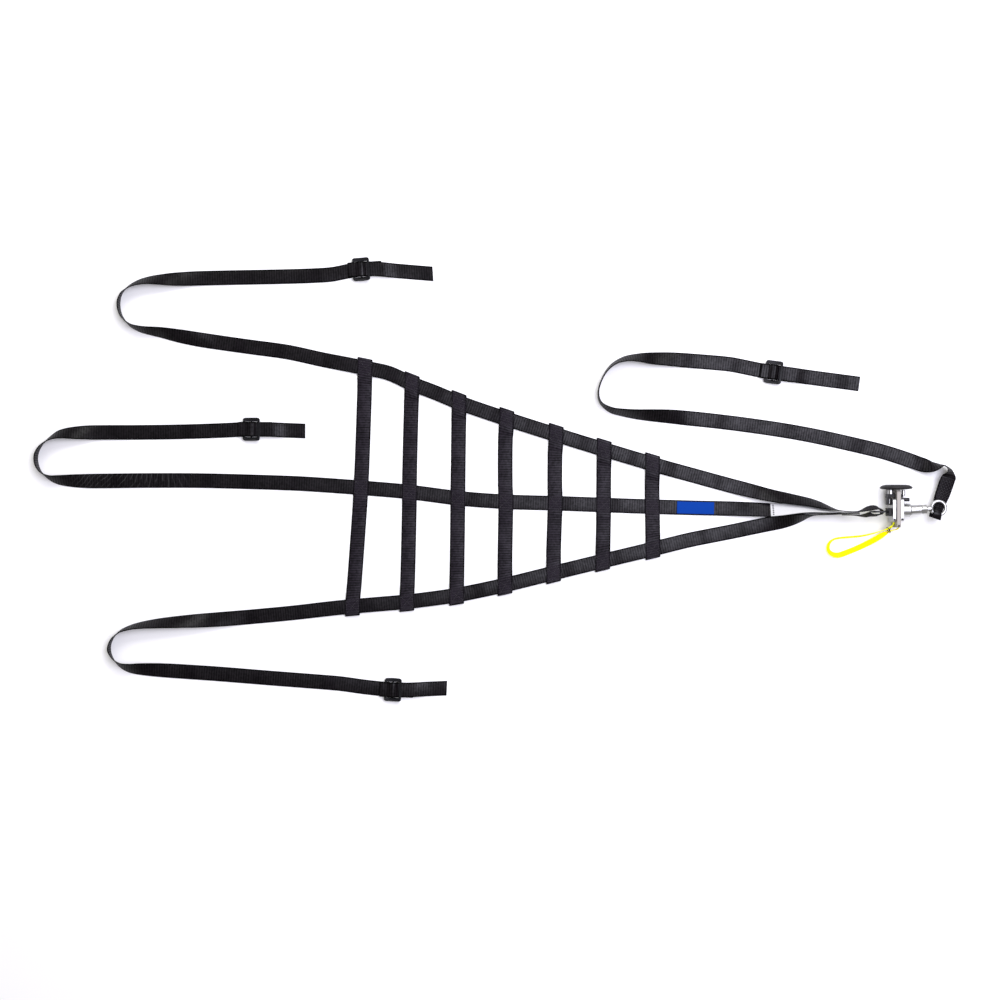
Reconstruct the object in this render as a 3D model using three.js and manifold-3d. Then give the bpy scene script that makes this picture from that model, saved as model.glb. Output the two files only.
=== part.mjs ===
// Triangular racing safety net laid out on a flat surface: three long webbing straps with slides on
// their free tails, seven cross straps, a push release at the apex and a hold-down strap on its eye.
// Millimetres, +X towards the release, +Y across the net, +Z up from the surface.
import * as THREE from "three";
import { mergeVertices } from "three/addons/utils/BufferGeometryUtils.js";
import Module from "manifold-3d";

const wasm = await Module();
wasm.setup();

// Webbing
const WEB_WIDTH = 25;
const WEB_THICK = 1.4;
const HALF_WIDTH = WEB_WIDTH / 2;
const HALF_THICK = WEB_THICK / 2;
const CROSSING_PITCH = 1.8;
const WRAP_LENGTH = 21;
const WRAP_EASE = 1.3;
const OVERLAY_GAP = 0.42;
const STRAIGHT_SLACK = 0.12;
const LONGEST_STEP = 60;
const MOST_ROLL = 6;
const ROW_STEPS = 6;

// Three-bar slide: along the strap, across it, and the heights of its bars
const SLIDE_LENGTH = 29;
const SLIDE_WIDTH = 39;
const SLIDE_CORNER = 4;
const SLIDE_SWELL = 0.25;
const SLOT_HALF_WIDTH = 13.5;
const SIDE_BAR = 4;
const CENTRE_BAR = 2.4;
const SLIDE_THICK = 2.1;
const BAR_HEIGHTS = { left: 5.05, centre: 3.2, right: 7.2 };

// Badge, care label and pull tape
const BADGE = { from: 309, to: 372, width: 20.7, thick: 1 };
const LABEL = { from: 467, to: 583, width: 23.4, thick: 1 };
const TAPE_WIDTH = 9.5;
const TAPE_THICK = 1;

// Release: its axis runs along X at the height of the cap's centre
const CAP_RADIUS = 27;
const AXIS_Z = CAP_RADIUS;
const AXIS_Y = -51;
const CAP_X = 675;
const CAP_TOP = -8.3;
const CAP_UNDERSIDE = -16.8;
const PLATE_HALF_HEIGHT = 18;
const PLATE_CORNER = 3;
const LATCH_HALF_HEIGHT = 20;
const FIT = 0.4;
const STRAP_FIT = 0.3;
const GUIDE_LEFT = { x0: 665.4, x1: 670.7, y0: -70, y1: -31.3 };
const GUIDE_RIGHT = { x0: 678.6, x1: 683.8, y0: -69.4, y1: -30.6 };
const LATCH = { x0: 671.8, x1: 678, y0: -80.1, y1: CAP_UNDERSIDE - FIT };
const EYE_TURN = 4.4;
const EYE = { x: 746.4, y: -47.5, ring: 11.75, wire: 2.75 };

// The middle of the laid-out net in the drawing's own numbers
const PLAN_CENTRE = { x: 0.25, y: 1.6 };

const COLOURS = {
  webbing: 0x1e1c21,
  badge: 0x1a4fae,
  label: 0xe9e9e6,
  tape: 0xe6f400,
  slide: 0x151518,
  nylon: 0x2a2a2e,
  steel: 0xb4b1aa,
  brass: 0xa8a294,
  darkSteel: 0x3a3936,
};

const rad = THREE.MathUtils.degToRad;
const vec = (x, y, z) => new THREE.Vector3(x, y, z);
const UP = vec(0, 0, 1);

// A table's rows as objects named by its columns
function rows(columns, table) {
  const names = columns.split(" ");
  return table.map((row) => Object.fromEntries(names.map((name, i) => [name, row[i]])));
}

// A section of a strap: its centre, the vector to its left edge, and its thickness
function section(centre, across, thick = WEB_THICK) {
  return { centre, across, thick };
}

// Sections along a plan route. tilt turns the strap from flat (0) to on edge (90, left edge up;
// -90, right edge up), and lift is the height of its lowest corner above the surface.
function routeSections(table, halfWidth = HALF_WIDTH, thick = WEB_THICK) {
  return table.map((row, i) => {
    const before = table[Math.max(i - 1, 0)];
    const after = table[Math.min(i + 1, table.length - 1)];
    const into = vec(row.x - before.x, row.y - before.y, 0).normalize();
    const out = vec(after.x - row.x, after.y - row.y, 0).normalize();
    const left = UP.clone().cross(into.add(out).normalize());
    const tilt = rad(row.tilt);
    const across = left.multiplyScalar(halfWidth * Math.cos(tilt));
    across.addScaledVector(UP, halfWidth * Math.sin(tilt));
    const z = row.lift + halfWidth * Math.abs(Math.sin(tilt)) + (thick / 2) * Math.cos(tilt);
    return section(vec(row.x, row.y, z), across, thick);
  });
}

// A value between rows that never swings past them; knots holds each row's place
function steady(values, knots, k, part) {
  const secant = (i) => (values[i + 1] - values[i]) / (knots[i + 1] - knots[i]);
  const slope = (i) => {
    if (i === 0 || i === values.length - 1) return 0;
    const [before, after] = [secant(i - 1), secant(i)];
    if (before * after <= 0) return 0;
    const [short, long] = [knots[i] - knots[i - 1], knots[i + 1] - knots[i]];
    const [w1, w2] = [2 * long + short, long + 2 * short];
    return (w1 + w2) / (w1 / before + w2 / after);
  };
  const gap = knots[k + 1] - knots[k];
  const [p2, p3] = [part ** 2, part ** 3];
  return (
    (2 * p3 - 3 * p2 + 1) * values[k] +
    (p3 - 2 * p2 + part) * gap * slope(k) +
    (3 * p2 - 2 * p3) * values[k + 1] +
    (p3 - p2) * gap * slope(k + 1)
  );
}

// A smooth run of sections through the given ones, thinned where it is straight
function smooth(given) {
  const plan = new THREE.CatmullRomCurve3(given.map((s) => s.centre), false, "centripetal");
  const heights = given.map((s) => s.centre.z);
  const sides = given.map((s) => s.across);
  const knots = [0];
  for (let i = 1; i < given.length; i += 1) {
    knots.push(knots[i - 1] + Math.sqrt(given[i].centre.distanceTo(given[i - 1].centre)));
  }
  const fine = [];
  const count = (given.length - 1) * ROW_STEPS;
  for (let i = 0; i <= count; i += 1) {
    const k = Math.min(Math.floor(i / ROW_STEPS), given.length - 2);
    const part = i / ROW_STEPS - k;
    const [x, y, z] = ["x", "y", "z"].map((axis) => steady(sides.map((side) => side[axis]), knots, k, part));
    const half = THREE.MathUtils.lerp(sides[k].length(), sides[k + 1].length(), part);
    const thick = THREE.MathUtils.lerp(given[k].thick, given[k + 1].thick, part);
    const centre = plan.getPoint(i / count).setZ(steady(heights, knots, k, part));
    fine.push(section(centre, vec(x, y, z).setLength(half), thick));
  }
  fine.forEach((s, i) => {
    const [before, after] = [fine[Math.max(i - 1, 0)], fine[Math.min(i + 1, count)]];
    const [into, out] = [s.centre.clone().sub(before.centre), after.centre.clone().sub(s.centre)];
    s.tangent = into.normalize().add(out.normalize()).normalize();
    const lowest = s.centre.z - Math.abs(s.across.z) - (s.thick / 2) * Math.abs(faceNormal(s).z);
    s.centre.z -= Math.min(lowest, 0);
  });
  const kept = [fine[0]];
  let start = 0;
  for (let end = 2; end < fine.length; end += 1) {
    const rolled = fine[start].across.angleTo(fine[end].across) > rad(MOST_ROLL);
    if (!rolled && isStraight(fine, start, end)) continue;
    start = end - 1;
    kept.push(fine[start]);
  }
  kept.push(fine[fine.length - 1]);
  return kept;
}

// Whether both edges of a strap stay close to straight lines between two of its sections
function isStraight(sections, start, end) {
  const [a, b] = [sections[start], sections[end]];
  if (a.centre.distanceTo(b.centre) > LONGEST_STEP) return false;
  for (const side of [-1, 1]) {
    const edge = (s) => s.centre.clone().addScaledVector(s.across, side);
    const chord = new THREE.Line3(edge(a), edge(b));
    for (let i = start + 1; i < end; i += 1) {
      const point = edge(sections[i]);
      const nearest = chord.closestPointToPoint(point, true, vec(0, 0, 0));
      if (nearest.distanceTo(point) > STRAIGHT_SLACK) return false;
    }
  }
  return true;
}

// The direction out of a strap's face at a section
function faceNormal(s) {
  return s.tangent.clone().cross(s.across).normalize();
}

// A closed band of rectangular sections
function band(sections) {
  const points = [];
  const faces = [];
  for (const s of sections) {
    const rise = faceNormal(s).multiplyScalar(s.thick / 2);
    points.push(s.centre.clone().add(s.across).add(rise));
    points.push(s.centre.clone().sub(s.across).add(rise));
    points.push(s.centre.clone().sub(s.across).sub(rise));
    points.push(s.centre.clone().add(s.across).sub(rise));
  }
  const quad = (a, b, c, d) => faces.push(a, b, c, a, c, d);
  for (let i = 0; i < sections.length - 1; i += 1) {
    const [near, far] = [4 * i, 4 * i + 4];
    quad(near, near + 1, far + 1, far);
    quad(near + 1, near + 2, far + 2, far + 1);
    quad(near + 3, far + 3, far + 2, near + 2);
    quad(near + 3, near, far, far + 3);
  }
  const last = points.length - 4;
  quad(3, 2, 1, 0);
  quad(last, last + 1, last + 2, last + 3);
  const geometry = new THREE.BufferGeometry().setFromPoints(points);
  geometry.setIndex(faces);
  return geometry;
}

// The part of a strap past its U turn
function netRun(strap) {
  const turn = Math.min(...strap.map((s) => s.centre.x));
  return strap.slice(strap.findIndex((s) => s.centre.x === turn));
}

// A strap's line in plan at one place along X
function lineAt(strap, x) {
  const run = netRun(strap);
  const k = run.findIndex((s) => s.centre.x >= x);
  const [a, b] = [run[k - 1].centre, run[k].centre];
  const slope = (b.y - a.y) / (b.x - a.x);
  return { y: a.y + slope * (x - a.x), slope };
}

// A thinner band that lies on a strap's face between two places along X
function overlay(strap, { from, to, width, thick }) {
  const offset = HALF_THICK + OVERLAY_GAP + thick / 2;
  const run = netRun(strap);
  const place = (x) => {
    const k = run.findIndex((s) => s.centre.x >= x);
    const [a, b] = [run[k - 1], run[k]];
    const part = (x - a.centre.x) / (b.centre.x - a.centre.x);
    return {
      ...section(a.centre.clone().lerp(b.centre, part), a.across.clone().lerp(b.across, part)),
      tangent: a.tangent.clone().lerp(b.tangent, part),
    };
  };
  const between = run.filter((s) => s.centre.x > from && s.centre.x < to);
  return [place(from), ...between, place(to)].map((s) => ({
    centre: s.centre.clone().addScaledVector(faceNormal(s), offset),
    across: s.across.clone().setLength(width / 2),
    thick,
    tangent: s.tangent,
  }));
}

// Closed geometry to a manifold solid and back
function solid(geometry) {
  const plain = new THREE.BufferGeometry();
  plain.setAttribute("position", geometry.getAttribute("position"));
  if (geometry.index) plain.setIndex(geometry.index);
  const merged = mergeVertices(plain, 1e-4);
  return new wasm.Manifold(
    new wasm.Mesh({
      numProp: 3,
      vertProperties: merged.getAttribute("position").array,
      triVerts: new Uint32Array(merged.index.array),
    }),
  );
}

function geometryOf(made) {
  const mesh = made.getMesh();
  const geometry = new THREE.BufferGeometry();
  geometry.setAttribute("position", new THREE.BufferAttribute(new Float32Array(mesh.vertProperties), 3));
  geometry.setIndex(new THREE.BufferAttribute(new Uint32Array(mesh.triVerts), 1));
  return geometry;
}

// A box between two corners
function block(x0, x1, y0, y1, z0, z1) {
  const geometry = new THREE.BoxGeometry(x1 - x0, y1 - y0, z1 - z0);
  return geometry.translate((x0 + x1) / 2, (y0 + y1) / 2, (z0 + z1) / 2);
}

// A cylinder along X or Y, with its bottom vertex straight below its axis
function rod(axis, from, to, radius, a, b, sides = 24) {
  const geometry = new THREE.CylinderGeometry(radius, radius, to - from, sides);
  if (axis === "x") {
    geometry.rotateZ(-Math.PI / 2);
    return geometry.translate((from + to) / 2, a, b);
  }
  if (axis === "y") return geometry.translate(a, (from + to) / 2, b);
  geometry.rotateX(Math.PI / 2);
  return geometry.translate(a, b, (from + to) / 2);
}

// A plate in the YZ plane with cut corners
function plateYZ({ x0, x1, y0, y1 }, halfHeight, corner) {
  const shape = new THREE.Shape();
  const [z0, z1] = [AXIS_Z - halfHeight, AXIS_Z + halfHeight];
  shape.moveTo(y0 + corner, z0);
  shape.lineTo(y1 - corner, z0);
  shape.lineTo(y1, z0 + corner);
  shape.lineTo(y1, z1 - corner);
  shape.lineTo(y1 - corner, z1);
  shape.lineTo(y0 + corner, z1);
  shape.lineTo(y0, z1 - corner);
  shape.lineTo(y0, z0 + corner);
  shape.closePath();
  const geometry = new THREE.ExtrudeGeometry(shape, { depth: x1 - x0, bevelEnabled: false });
  geometry.applyMatrix4(new THREE.Matrix4().makeBasis(vec(0, 1, 0), vec(0, 0, 1), vec(1, 0, 0)));
  return geometry.translate(x0, 0, 0);
}

// Places of the four slides (turn in degrees from +X), and the free ends of their tails
const SLIDES = {
  upper: { x: -227, y: 357.4, turn: 4, tailX: -105.4, tailY: 350.2 },
  middle: { x: -413.1, y: 86, turn: 0, tailX: -322.3, tailY: 83.3 },
  lower: { x: -173.1, y: -355.8, turn: -2.5, tailX: -81.8, tailY: -353.6 },
  hold: { x: 472.3, y: 182.8, turn: -8, tailX: 618.8, tailY: 163.2 },
};

// The webbing's way through a slide, from the free tail to the strand: distance along the slide
// from its centre bar, and height. It lies in three layers over the centre bar, with one fold
// round the left bar and one fold on the right.
const TAIL_THREADING = rows("along height", [
  [66, 0.7],
  [54, 1.7],
  [44, 3.9],
  [36, 5],
  [24, 5.1],
  [14.5, 5.1],
  [9.4, 5.25],
  [5.6, 7.6],
  [2, 9.8],
  [-2, 9.9],
  [-6, 8.4],
  [-10, 7.3],
  [-14.5, 7.2],
  [-20, 7.2],
]);
const LEFT_FOLD = { along: -20, height: 5.05, radius: 2.15, side: -1 };
const RETURN_THREADING = rows("along height", [
  [-20, 2.9],
  [-14.5, 2.9],
  [-9.8, 3],
  [-5.8, 5.3],
  [-2, 7.55],
  [2, 7.55],
  [5.2, 5.4],
  [8.8, 3.05],
  [14.5, 2.9],
  [24, 2.9],
  [33, 2.9],
]);
const RIGHT_FOLD = { along: 33, height: 1.8, radius: 1.1, side: 1 };
const STRAND_THREADING = rows("along height", [
  [33, 0.7],
  [24, 0.7],
  [13, 0.7],
  [8.2, 0.8],
  [4.8, 3.1],
  [2, 5.3],
  [-2, 5.3],
  [-5.6, 3.1],
  [-10.2, 0.8],
  [-15, 0.7],
]);

// The rows of a fold between its two straight runs, from the upper to the lower or back
function foldRows({ along, height, radius, side }) {
  return [60, 30, 0, -30, -60].map((angle) => ({
    along: along + side * radius * Math.cos(rad(angle)),
    height: height + radius * Math.sin(rad(angle)),
  }));
}

function threadedSections(slide) {
  const turn = rad(slide.turn);
  const alongAxis = vec(Math.cos(turn), Math.sin(turn), 0);
  const acrossAxis = vec(-Math.sin(turn), Math.cos(turn), 0);
  const middle = vec(slide.x, slide.y, 0);
  const tail = vec(slide.tailX, slide.tailY, 0).sub(middle);
  const tailAlong = tail.dot(alongAxis);
  const tailAcross = tail.dot(acrossAxis);
  const slack = SIDE_BAR + SLIDE_LENGTH / 2;
  const place = ({ along, height }, shift = 0) =>
    section(
      middle.clone().addScaledVector(alongAxis, along).addScaledVector(acrossAxis, shift).setZ(height),
      acrossAxis.clone().multiplyScalar(-HALF_WIDTH),
    );
  const outward = (along) => (tailAcross * Math.max(along - slack, 0)) / (tailAlong - slack);
  return [
    place({ along: tailAlong, height: HALF_THICK }, tailAcross),
    ...TAIL_THREADING.map((row) => place(row, outward(row.along))),
    ...foldRows(LEFT_FOLD).map((row) => place(row)),
    ...RETURN_THREADING.map((row) => place(row)),
    ...foldRows(RIGHT_FOLD).map((row) => place(row)),
    ...STRAND_THREADING.map((row) => place(row)),
  ];
}

// Routes of the straps past their slides
const UPPER_ROUTE = rows("x y tilt lift", [
  [-277, 349.4, 0, 0],
  [-331.5, 346.3, 0, 0],
  [-433.5, 344.1, 0, 0],
  [-501.5, 342.6, 3, 0],
  [-535.5, 341, 14, 0],
  [-569.5, 339.5, 40, 0],
  [-586.5, 338.2, 52, 0],
  [-603.5, 334.7, 62, 0],
  [-620.5, 326.9, 73, 0],
  [-633, 314, 84, 0],
  [-637, 296.5, 90, 0],
  [-632, 277.5, 89, 0],
  [-617.6, 262, 80, 0],
  [-601.8, 255.4, 70, 0],
  [-585, 252.3, 61, 0],
  [-568.9, 250.2, 51, 0],
  [-535.5, 244.1, 29, 0],
  [-501.5, 238.3, 12, 0],
  [-467.5, 233.4, 0, 0],
  [-416.5, 226.1, 0, 0],
  [-351.9, 217.4, 0, 0],
  [-297.5, 205.4, 0, 0],
  [-250, 196.2, 0, 1.8],
  [-221.5, 190.4, 0, 1.8],
  [-180.2, 181.4, 0, 1.8],
  [-141, 163.4, 0, 1.8],
  [-102, 148.8, 0, 1.8],
  [-62, 131.9, 0, 1.8],
  [18.7, 104, 0, 1.8],
  [102.9, 77.2, 0, 1.8],
  [185.3, 51.8, 0, 1.8],
  [268.1, 27, 0, 1.8],
  [285, 21.9, 0, 1.8],
  [331.5, 9.2, 0, 0.4],
  [399.5, -9.4, -4, 0],
  [433.5, -18, -14, 0],
  [467.5, -26.2, -29, 0],
  [501.5, -32.3, -42, 0],
  [519, -35.4, -49, 0.5],
  [535.5, -38.4, -55, 1],
  [553, -43.2, -64, 2],
  [569.5, -48.5, -78, 3.5],
  [584, -52.2, -88, 5.5],
  [600, -53.6, -90, 8.5],
]);
const APEX_LOOP = rows("x y tilt lift", [
  [613, -53.5, -90, 11],
  [621, -51.4, -84, 12.8],
  [629, -48.4, -76, 14],
  [637, -46.7, -73, 14.5],
  [643.6, -46.8, -77, 14.5],
  [649, -49.4, -87, 14.5],
  [651.4, -53.8, -90, 14.5],
  [649.4, -57.8, -88, 14.5],
  [643.6, -59.4, -82, 14.5],
  [635.5, -59.8, -82, 14.5],
  [627, -58.8, -71, 14.2],
  [619, -59.8, -80, 12.6],
  [611, -59.9, -88, 10.8],
  [600, -59.3, -90, 8.5],
  [588, -59.3, -90, 6.2],
]);
const MIDDLE_ROUTE = rows("x y tilt lift", [
  [-458, 84.4, 0, 0],
  [-535.5, 81.8, 0, 0],
  [-603.5, 80.9, 0, 0],
  [-671.5, 80.8, 5, 0],
  [-705.5, 80.3, 24, 0],
  [-739.5, 77.2, 54, 0],
  [-753, 70.9, 71, 0],
  [-767.2, 59.6, 84, 0],
  [-774.8, 47.6, 89, 0],
  [-776.9, 36.6, 90, 0],
  [-774.9, 24.6, 89, 0],
  [-768.4, 13.2, 84, 0],
  [-754, 3.4, 69, 0],
  [-739.5, 0, 51, 0],
  [-705.5, -1.7, 24, 0],
  [-671.5, -1.7, 7, 0],
  [-603.5, -0.9, 0, 0],
  [-501.5, -0.9, 0, 0],
  [-433.5, -2.6, 0, 0],
  [-331.5, -6, 0, 0],
  [-226.1, -13.3, 0, 0],
  [-144, -20.4, 0, 0],
  [-62.4, -31, 0, 0],
  [19.6, -37.1, 0, 0],
  [102.9, -39.4, 0, 0],
  [185, -42.5, 0, 0],
  [268.3, -45.4, 0, 0],
  [296, -46.2, 0, 0],
  [340, -47.4, 0, 0],
  [378, -48.2, 0, 0],
  [415, -49, -11, 0.4],
  [450, -50.4, -17, 1.4],
  [467.5, -51.2, -21, 2.2],
  [485, -50.6, -30, 3.6],
  [501.5, -49.6, -40, 4.4],
  [518.5, -49, -50, 4.4],
  [535.5, -50.4, -62, 3.6],
  [552.5, -53, -74, 3.4],
  [569.5, -55, -84, 4],
  [584, -55.5, -90, 5.5],
  [600, -55.5, -90, 8.5],
  [612, -55.5, -90, 11],
]);
const LOWER_ROUTE = rows("x y tilt lift", [
  [-222, -351.6, 0, 0],
  [-262, -345.9, 0, 0],
  [-331.5, -340.3, 0, 0],
  [-399.5, -335.1, 0, 0],
  [-467.5, -329.5, 0, 0],
  [-535.5, -324.9, -5, 0],
  [-569.5, -322.6, -15, 0],
  [-603.5, -320.4, -34, 0],
  [-620.5, -318.7, -49, 0],
  [-635.5, -313, -67, 0],
  [-647.5, -301.2, -81, 0],
  [-653, -286, -90, 0],
  [-648.2, -269.5, -88, 0],
  [-635.5, -256.8, -82, 0],
  [-619, -249.9, -75, 0],
  [-603.5, -246.5, -68, 0],
  [-586.5, -244.3, -60, 0],
  [-569.5, -242.7, -52, 0],
  [-535.5, -240.4, -38, 0],
  [-501.5, -238.5, -24, 0],
  [-467.5, -236.5, -12, 0],
  [-416.5, -232.6, 0, 0],
  [-341, -225.5, 0, 0],
  [-275, -217.7, 0, 1.8],
  [-243.1, -214.6, 0, 1.8],
  [-195.5, -210.6, 0, 1.8],
  [-149.6, -206.8, 0, 1.8],
  [-110.5, -202, 0, 1.8],
  [-65.1, -195.6, 0, 1.8],
  [-25.5, -187.6, 0, 1.8],
  [17.5, -178.3, 0, 1.8],
  [59.5, -167.8, 0, 1.8],
  [101.2, -157.4, 0, 1.8],
  [182.4, -137.6, 0, 1.8],
  [267.8, -117.2, 0, 1.8],
  [285, -112.9, 0, 1.8],
  [331.5, -101.5, 0, 0.4],
  [399.5, -88.2, 0, 0],
  [433.5, -81.1, 2, 0],
  [467.5, -74.3, 8, 0],
  [484, -71.5, 18, 0],
  [501.5, -68, 35, 0],
  [518.5, -64.4, 58, 0.4],
  [533, -61.2, 80, 1],
  [545, -59.1, 89, 1.8],
  [565, -58.4, 90, 3.6],
  [584, -57.4, 90, 5.5],
  [600, -57.4, 90, 8.5],
  [612, -57.4, 90, 11],
]);
const HOLD_ROUTE = rows("x y tilt lift", [
  [426, 191.6, 0, 0],
  [399.5, 196.7, 0, 0],
  [365.5, 199.9, 0, 0],
  [331.5, 202.6, 2, 0],
  [297.5, 205, 16, 0],
  [263.5, 206.2, 33, 0],
  [243, 207, 52, 0],
  [220, 204.8, 66, 0],
  [199.8, 195.6, 78, 0],
  [184.5, 177.5, 87, 0],
  [175.1, 150.5, 90, 0],
  [178.2, 132, 87, 0],
  [195.5, 118.8, 72, 0],
  [221, 113.4, 61, 0],
  [241.4, 111, 51, 0],
  [263.5, 109.6, 39, 0],
  [297.5, 107.6, 22, 0],
  [331.5, 104.5, 5, 0],
  [365.5, 101.2, 0, 0],
  [433.5, 92.8, 0, 0],
  [501.5, 82.5, 0, 0],
  [552.5, 72.9, 0, 0],
  [603.5, 61.5, 0, 0],
  [654.5, 49.3, 0, 0],
  [688.5, 38.8, 0, 0.4],
  [709, 31.6, -2, 1],
  [724, 26.2, -9, 1.3],
  [735.4, 23.4, -29, 1.6],
  [743.8, 23, -53, 2],
  [750.4, 24.3, -70, 3],
  [757, 25, -86, 4.2],
  [762.8, 21.7, -76, 6.4],
  [766.2, 16.6, -60, 9],
  [767.2, 10.4, -38, 12.8],
  [765.4, 3.8, -4, 18.7],
]);

// The loop of the hold-down strap through the eye, sewn down over the strap: distance past the
// eye's centre along the strap, height, half width and thickness. The webbing is gathered where it
// passes the ring.
const EYE_LOOP = rows("along height half thick", [
  [-45, 20.6, 12.5, 1.4],
  [-30, 20.7, 12.5, 1.4],
  [-16, 20.8, 12, 1.4],
  [-4, 20.9, 10, 1.5],
  [8, 21.1, 9.8, 1.6],
  [14, 22, 10, 1.6],
  [17.4, 24.2, 10.2, 1.6],
  [18, 27.4, 10, 1.6],
  [15.5, 30.4, 9, 1.6],
  [11.5, 31.6, 7.6, 1.6],
  [7, 31, 6.9, 1.6],
  [2, 28.6, 6.6, 1.6],
  [-3, 25.6, 6.6, 1.6],
  [-8, 23.3, 7, 1.6],
  [-12.5, 22.9, 9, 1.5],
  [-19, 22.9, 12.2, 1.4],
  [-30, 22.8, 12.5, 1.4],
  [-51, 22.8, 12.5, 1.4],
]);
const EYE_LOOP_TURN = 250.8;

function eyeLoopSections() {
  const turn = rad(EYE_LOOP_TURN);
  const onward = vec(Math.cos(turn), Math.sin(turn), 0);
  const left = UP.clone().cross(onward);
  return EYE_LOOP.map((row) =>
    section(
      vec(EYE.x, EYE.y, row.height).addScaledVector(onward, row.along),
      left.clone().multiplyScalar(row.half),
      row.thick,
    ),
  );
}

// Cross straps: their place along X on the upper strap, halfway, on the middle strap, halfway
// and on the lower strap
const CROSS_STRAPS = rows("upper above middle below lower", [
  [-220.5, -223.2, -227.6, -234, -242],
  [-140.3, -144.4, -145.2, -146.5, -149.6],
  [-60.7, -62.4, -62.9, -64, -65.1],
  [20.4, 16, 18.6, 16.8, 17.2],
  [104.2, 101, 102.4, 99.8, 99.6],
  [185.6, 184.6, 184.6, 184, 182.8],
  [267.8, 266.8, 267.2, 267.8, 268.2],
]);
const UNDER_Z = HALF_THICK;
const OVER_Z = HALF_THICK + 2 * CROSSING_PITCH;
const MIDDLE_OVER_Z = HALF_THICK + CROSSING_PITCH;
const RESTING_Z = 1.1;
const CROSSING = { reach: HALF_WIDTH + 5, halfway: 9, landed: 18, step: 12 };

// The wrapped end of a cross strap round an edge strap, from its cut end to past the inner edge.
// outward is +1 at the upper strap and -1 at the lower one.
function wrapRows({ y, slope }, outward) {
  const edge = y + (outward * HALF_WIDTH) / Math.cos(Math.atan(slope));
  const radius = (OVER_Z - UNDER_Z) / 2;
  const fold = [-90, -45, 0, 45, 90].map((angle) => ({
    y: edge + outward * (WRAP_EASE + radius * Math.cos(rad(angle))),
    z: (OVER_Z + UNDER_Z) / 2 + radius * Math.sin(rad(angle)),
    slope,
  }));
  const inner = y - (outward * HALF_WIDTH) / Math.cos(Math.atan(slope));
  return [
    { y: edge - outward * WRAP_LENGTH, z: UNDER_Z, slope },
    { y: edge - outward * 5, z: UNDER_Z, slope },
    ...fold,
    { y: y + outward * 2, z: OVER_Z, slope },
    { y: inner - outward * 4, z: OVER_Z, slope },
  ];
}

function crossStrapSections(row, straps) {
  const upper = lineAt(straps.upper, row.upper);
  const middle = lineAt(straps.middle, row.middle);
  const lower = lineAt(straps.lower, row.lower);
  const { reach, halfway, landed, step } = CROSSING;
  const upperInner = upper.y - reach;
  const lowerInner = lower.y + reach;
  const path = [
    ...wrapRows(upper, 1),
    { y: upperInner - halfway, z: (OVER_Z + RESTING_Z) / 2, slope: upper.slope / 2 },
    { y: upperInner - landed, z: RESTING_Z, slope: 0 },
    { y: middle.y + reach + step, z: RESTING_Z, slope: 0 },
    { y: middle.y + reach, z: MIDDLE_OVER_Z, slope: middle.slope },
    { y: middle.y, z: MIDDLE_OVER_Z, slope: middle.slope },
    { y: middle.y - reach, z: MIDDLE_OVER_Z, slope: middle.slope },
    { y: middle.y - reach - step, z: RESTING_Z, slope: 0 },
    { y: lowerInner + landed, z: RESTING_Z, slope: 0 },
    { y: lowerInner + halfway, z: (OVER_Z + RESTING_Z) / 2, slope: lower.slope / 2 },
    ...wrapRows(lower, -1).reverse(),
  ];
  const line = new THREE.SplineCurve([
    new THREE.Vector2(-upper.y, row.upper),
    new THREE.Vector2(-(upper.y + middle.y) / 2, row.above),
    new THREE.Vector2(-middle.y, row.middle),
    new THREE.Vector2(-(middle.y + lower.y) / 2, row.below),
    new THREE.Vector2(-lower.y, row.lower),
  ]).getPoints(40);
  const xAt = (y) => {
    const k = line.findIndex((p) => p.x >= -y);
    if (k === 0) return row.upper;
    if (k < 0) return row.lower;
    const part = (-y - line[k - 1].x) / (line[k].x - line[k - 1].x);
    return THREE.MathUtils.lerp(line[k - 1].y, line[k].y, part);
  };
  return path.map((p) => section(vec(xAt(p.y), p.y, p.z), vec(HALF_WIDTH, HALF_WIDTH * p.slope, 0)));
}

// Pull tape: from one face of the latch plate's end round the loop to its other face
const TAPE_ROUTE = rows("x y tilt lift", [
  [670.9, -71.4, -90, 22.4],
  [670, -75.2, -84, 21.6],
  [667.8, -79, -62, 19.8],
  [663.4, -82, -66, 17.6],
  [655, -85.2, -84, 14.6],
  [640, -90.4, -76, 9.6],
  [621, -95, -72, 4],
  [605.5, -96.6, -72, 1],
  [586, -98.2, -72, 0],
  [575, -100.6, -70, 0],
  [567.8, -106.4, -56, 0],
  [565.2, -114.2, -46, 0],
  [567, -121, -42, 0],
  [573.6, -126.2, -32, 0],
  [583, -127.6, -14, 0],
  [594, -124.4, -3, 0],
  [606.4, -119.6, 0, 0],
  [627, -110.4, 0, 1],
  [641, -102.6, -4, 6],
  [652, -95, -20, 11],
  [658, -90.4, -52, 14],
  [664.4, -86.8, -86, 17.6],
  [670, -84.6, -90, 20.4],
  [675.6, -83.6, -90, 22.2],
  [678.3, -81.4, -90, 22.8],
  [678.9, -77.6, -90, 23],
  [678.9, -72.6, -90, 23],
]);

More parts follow.
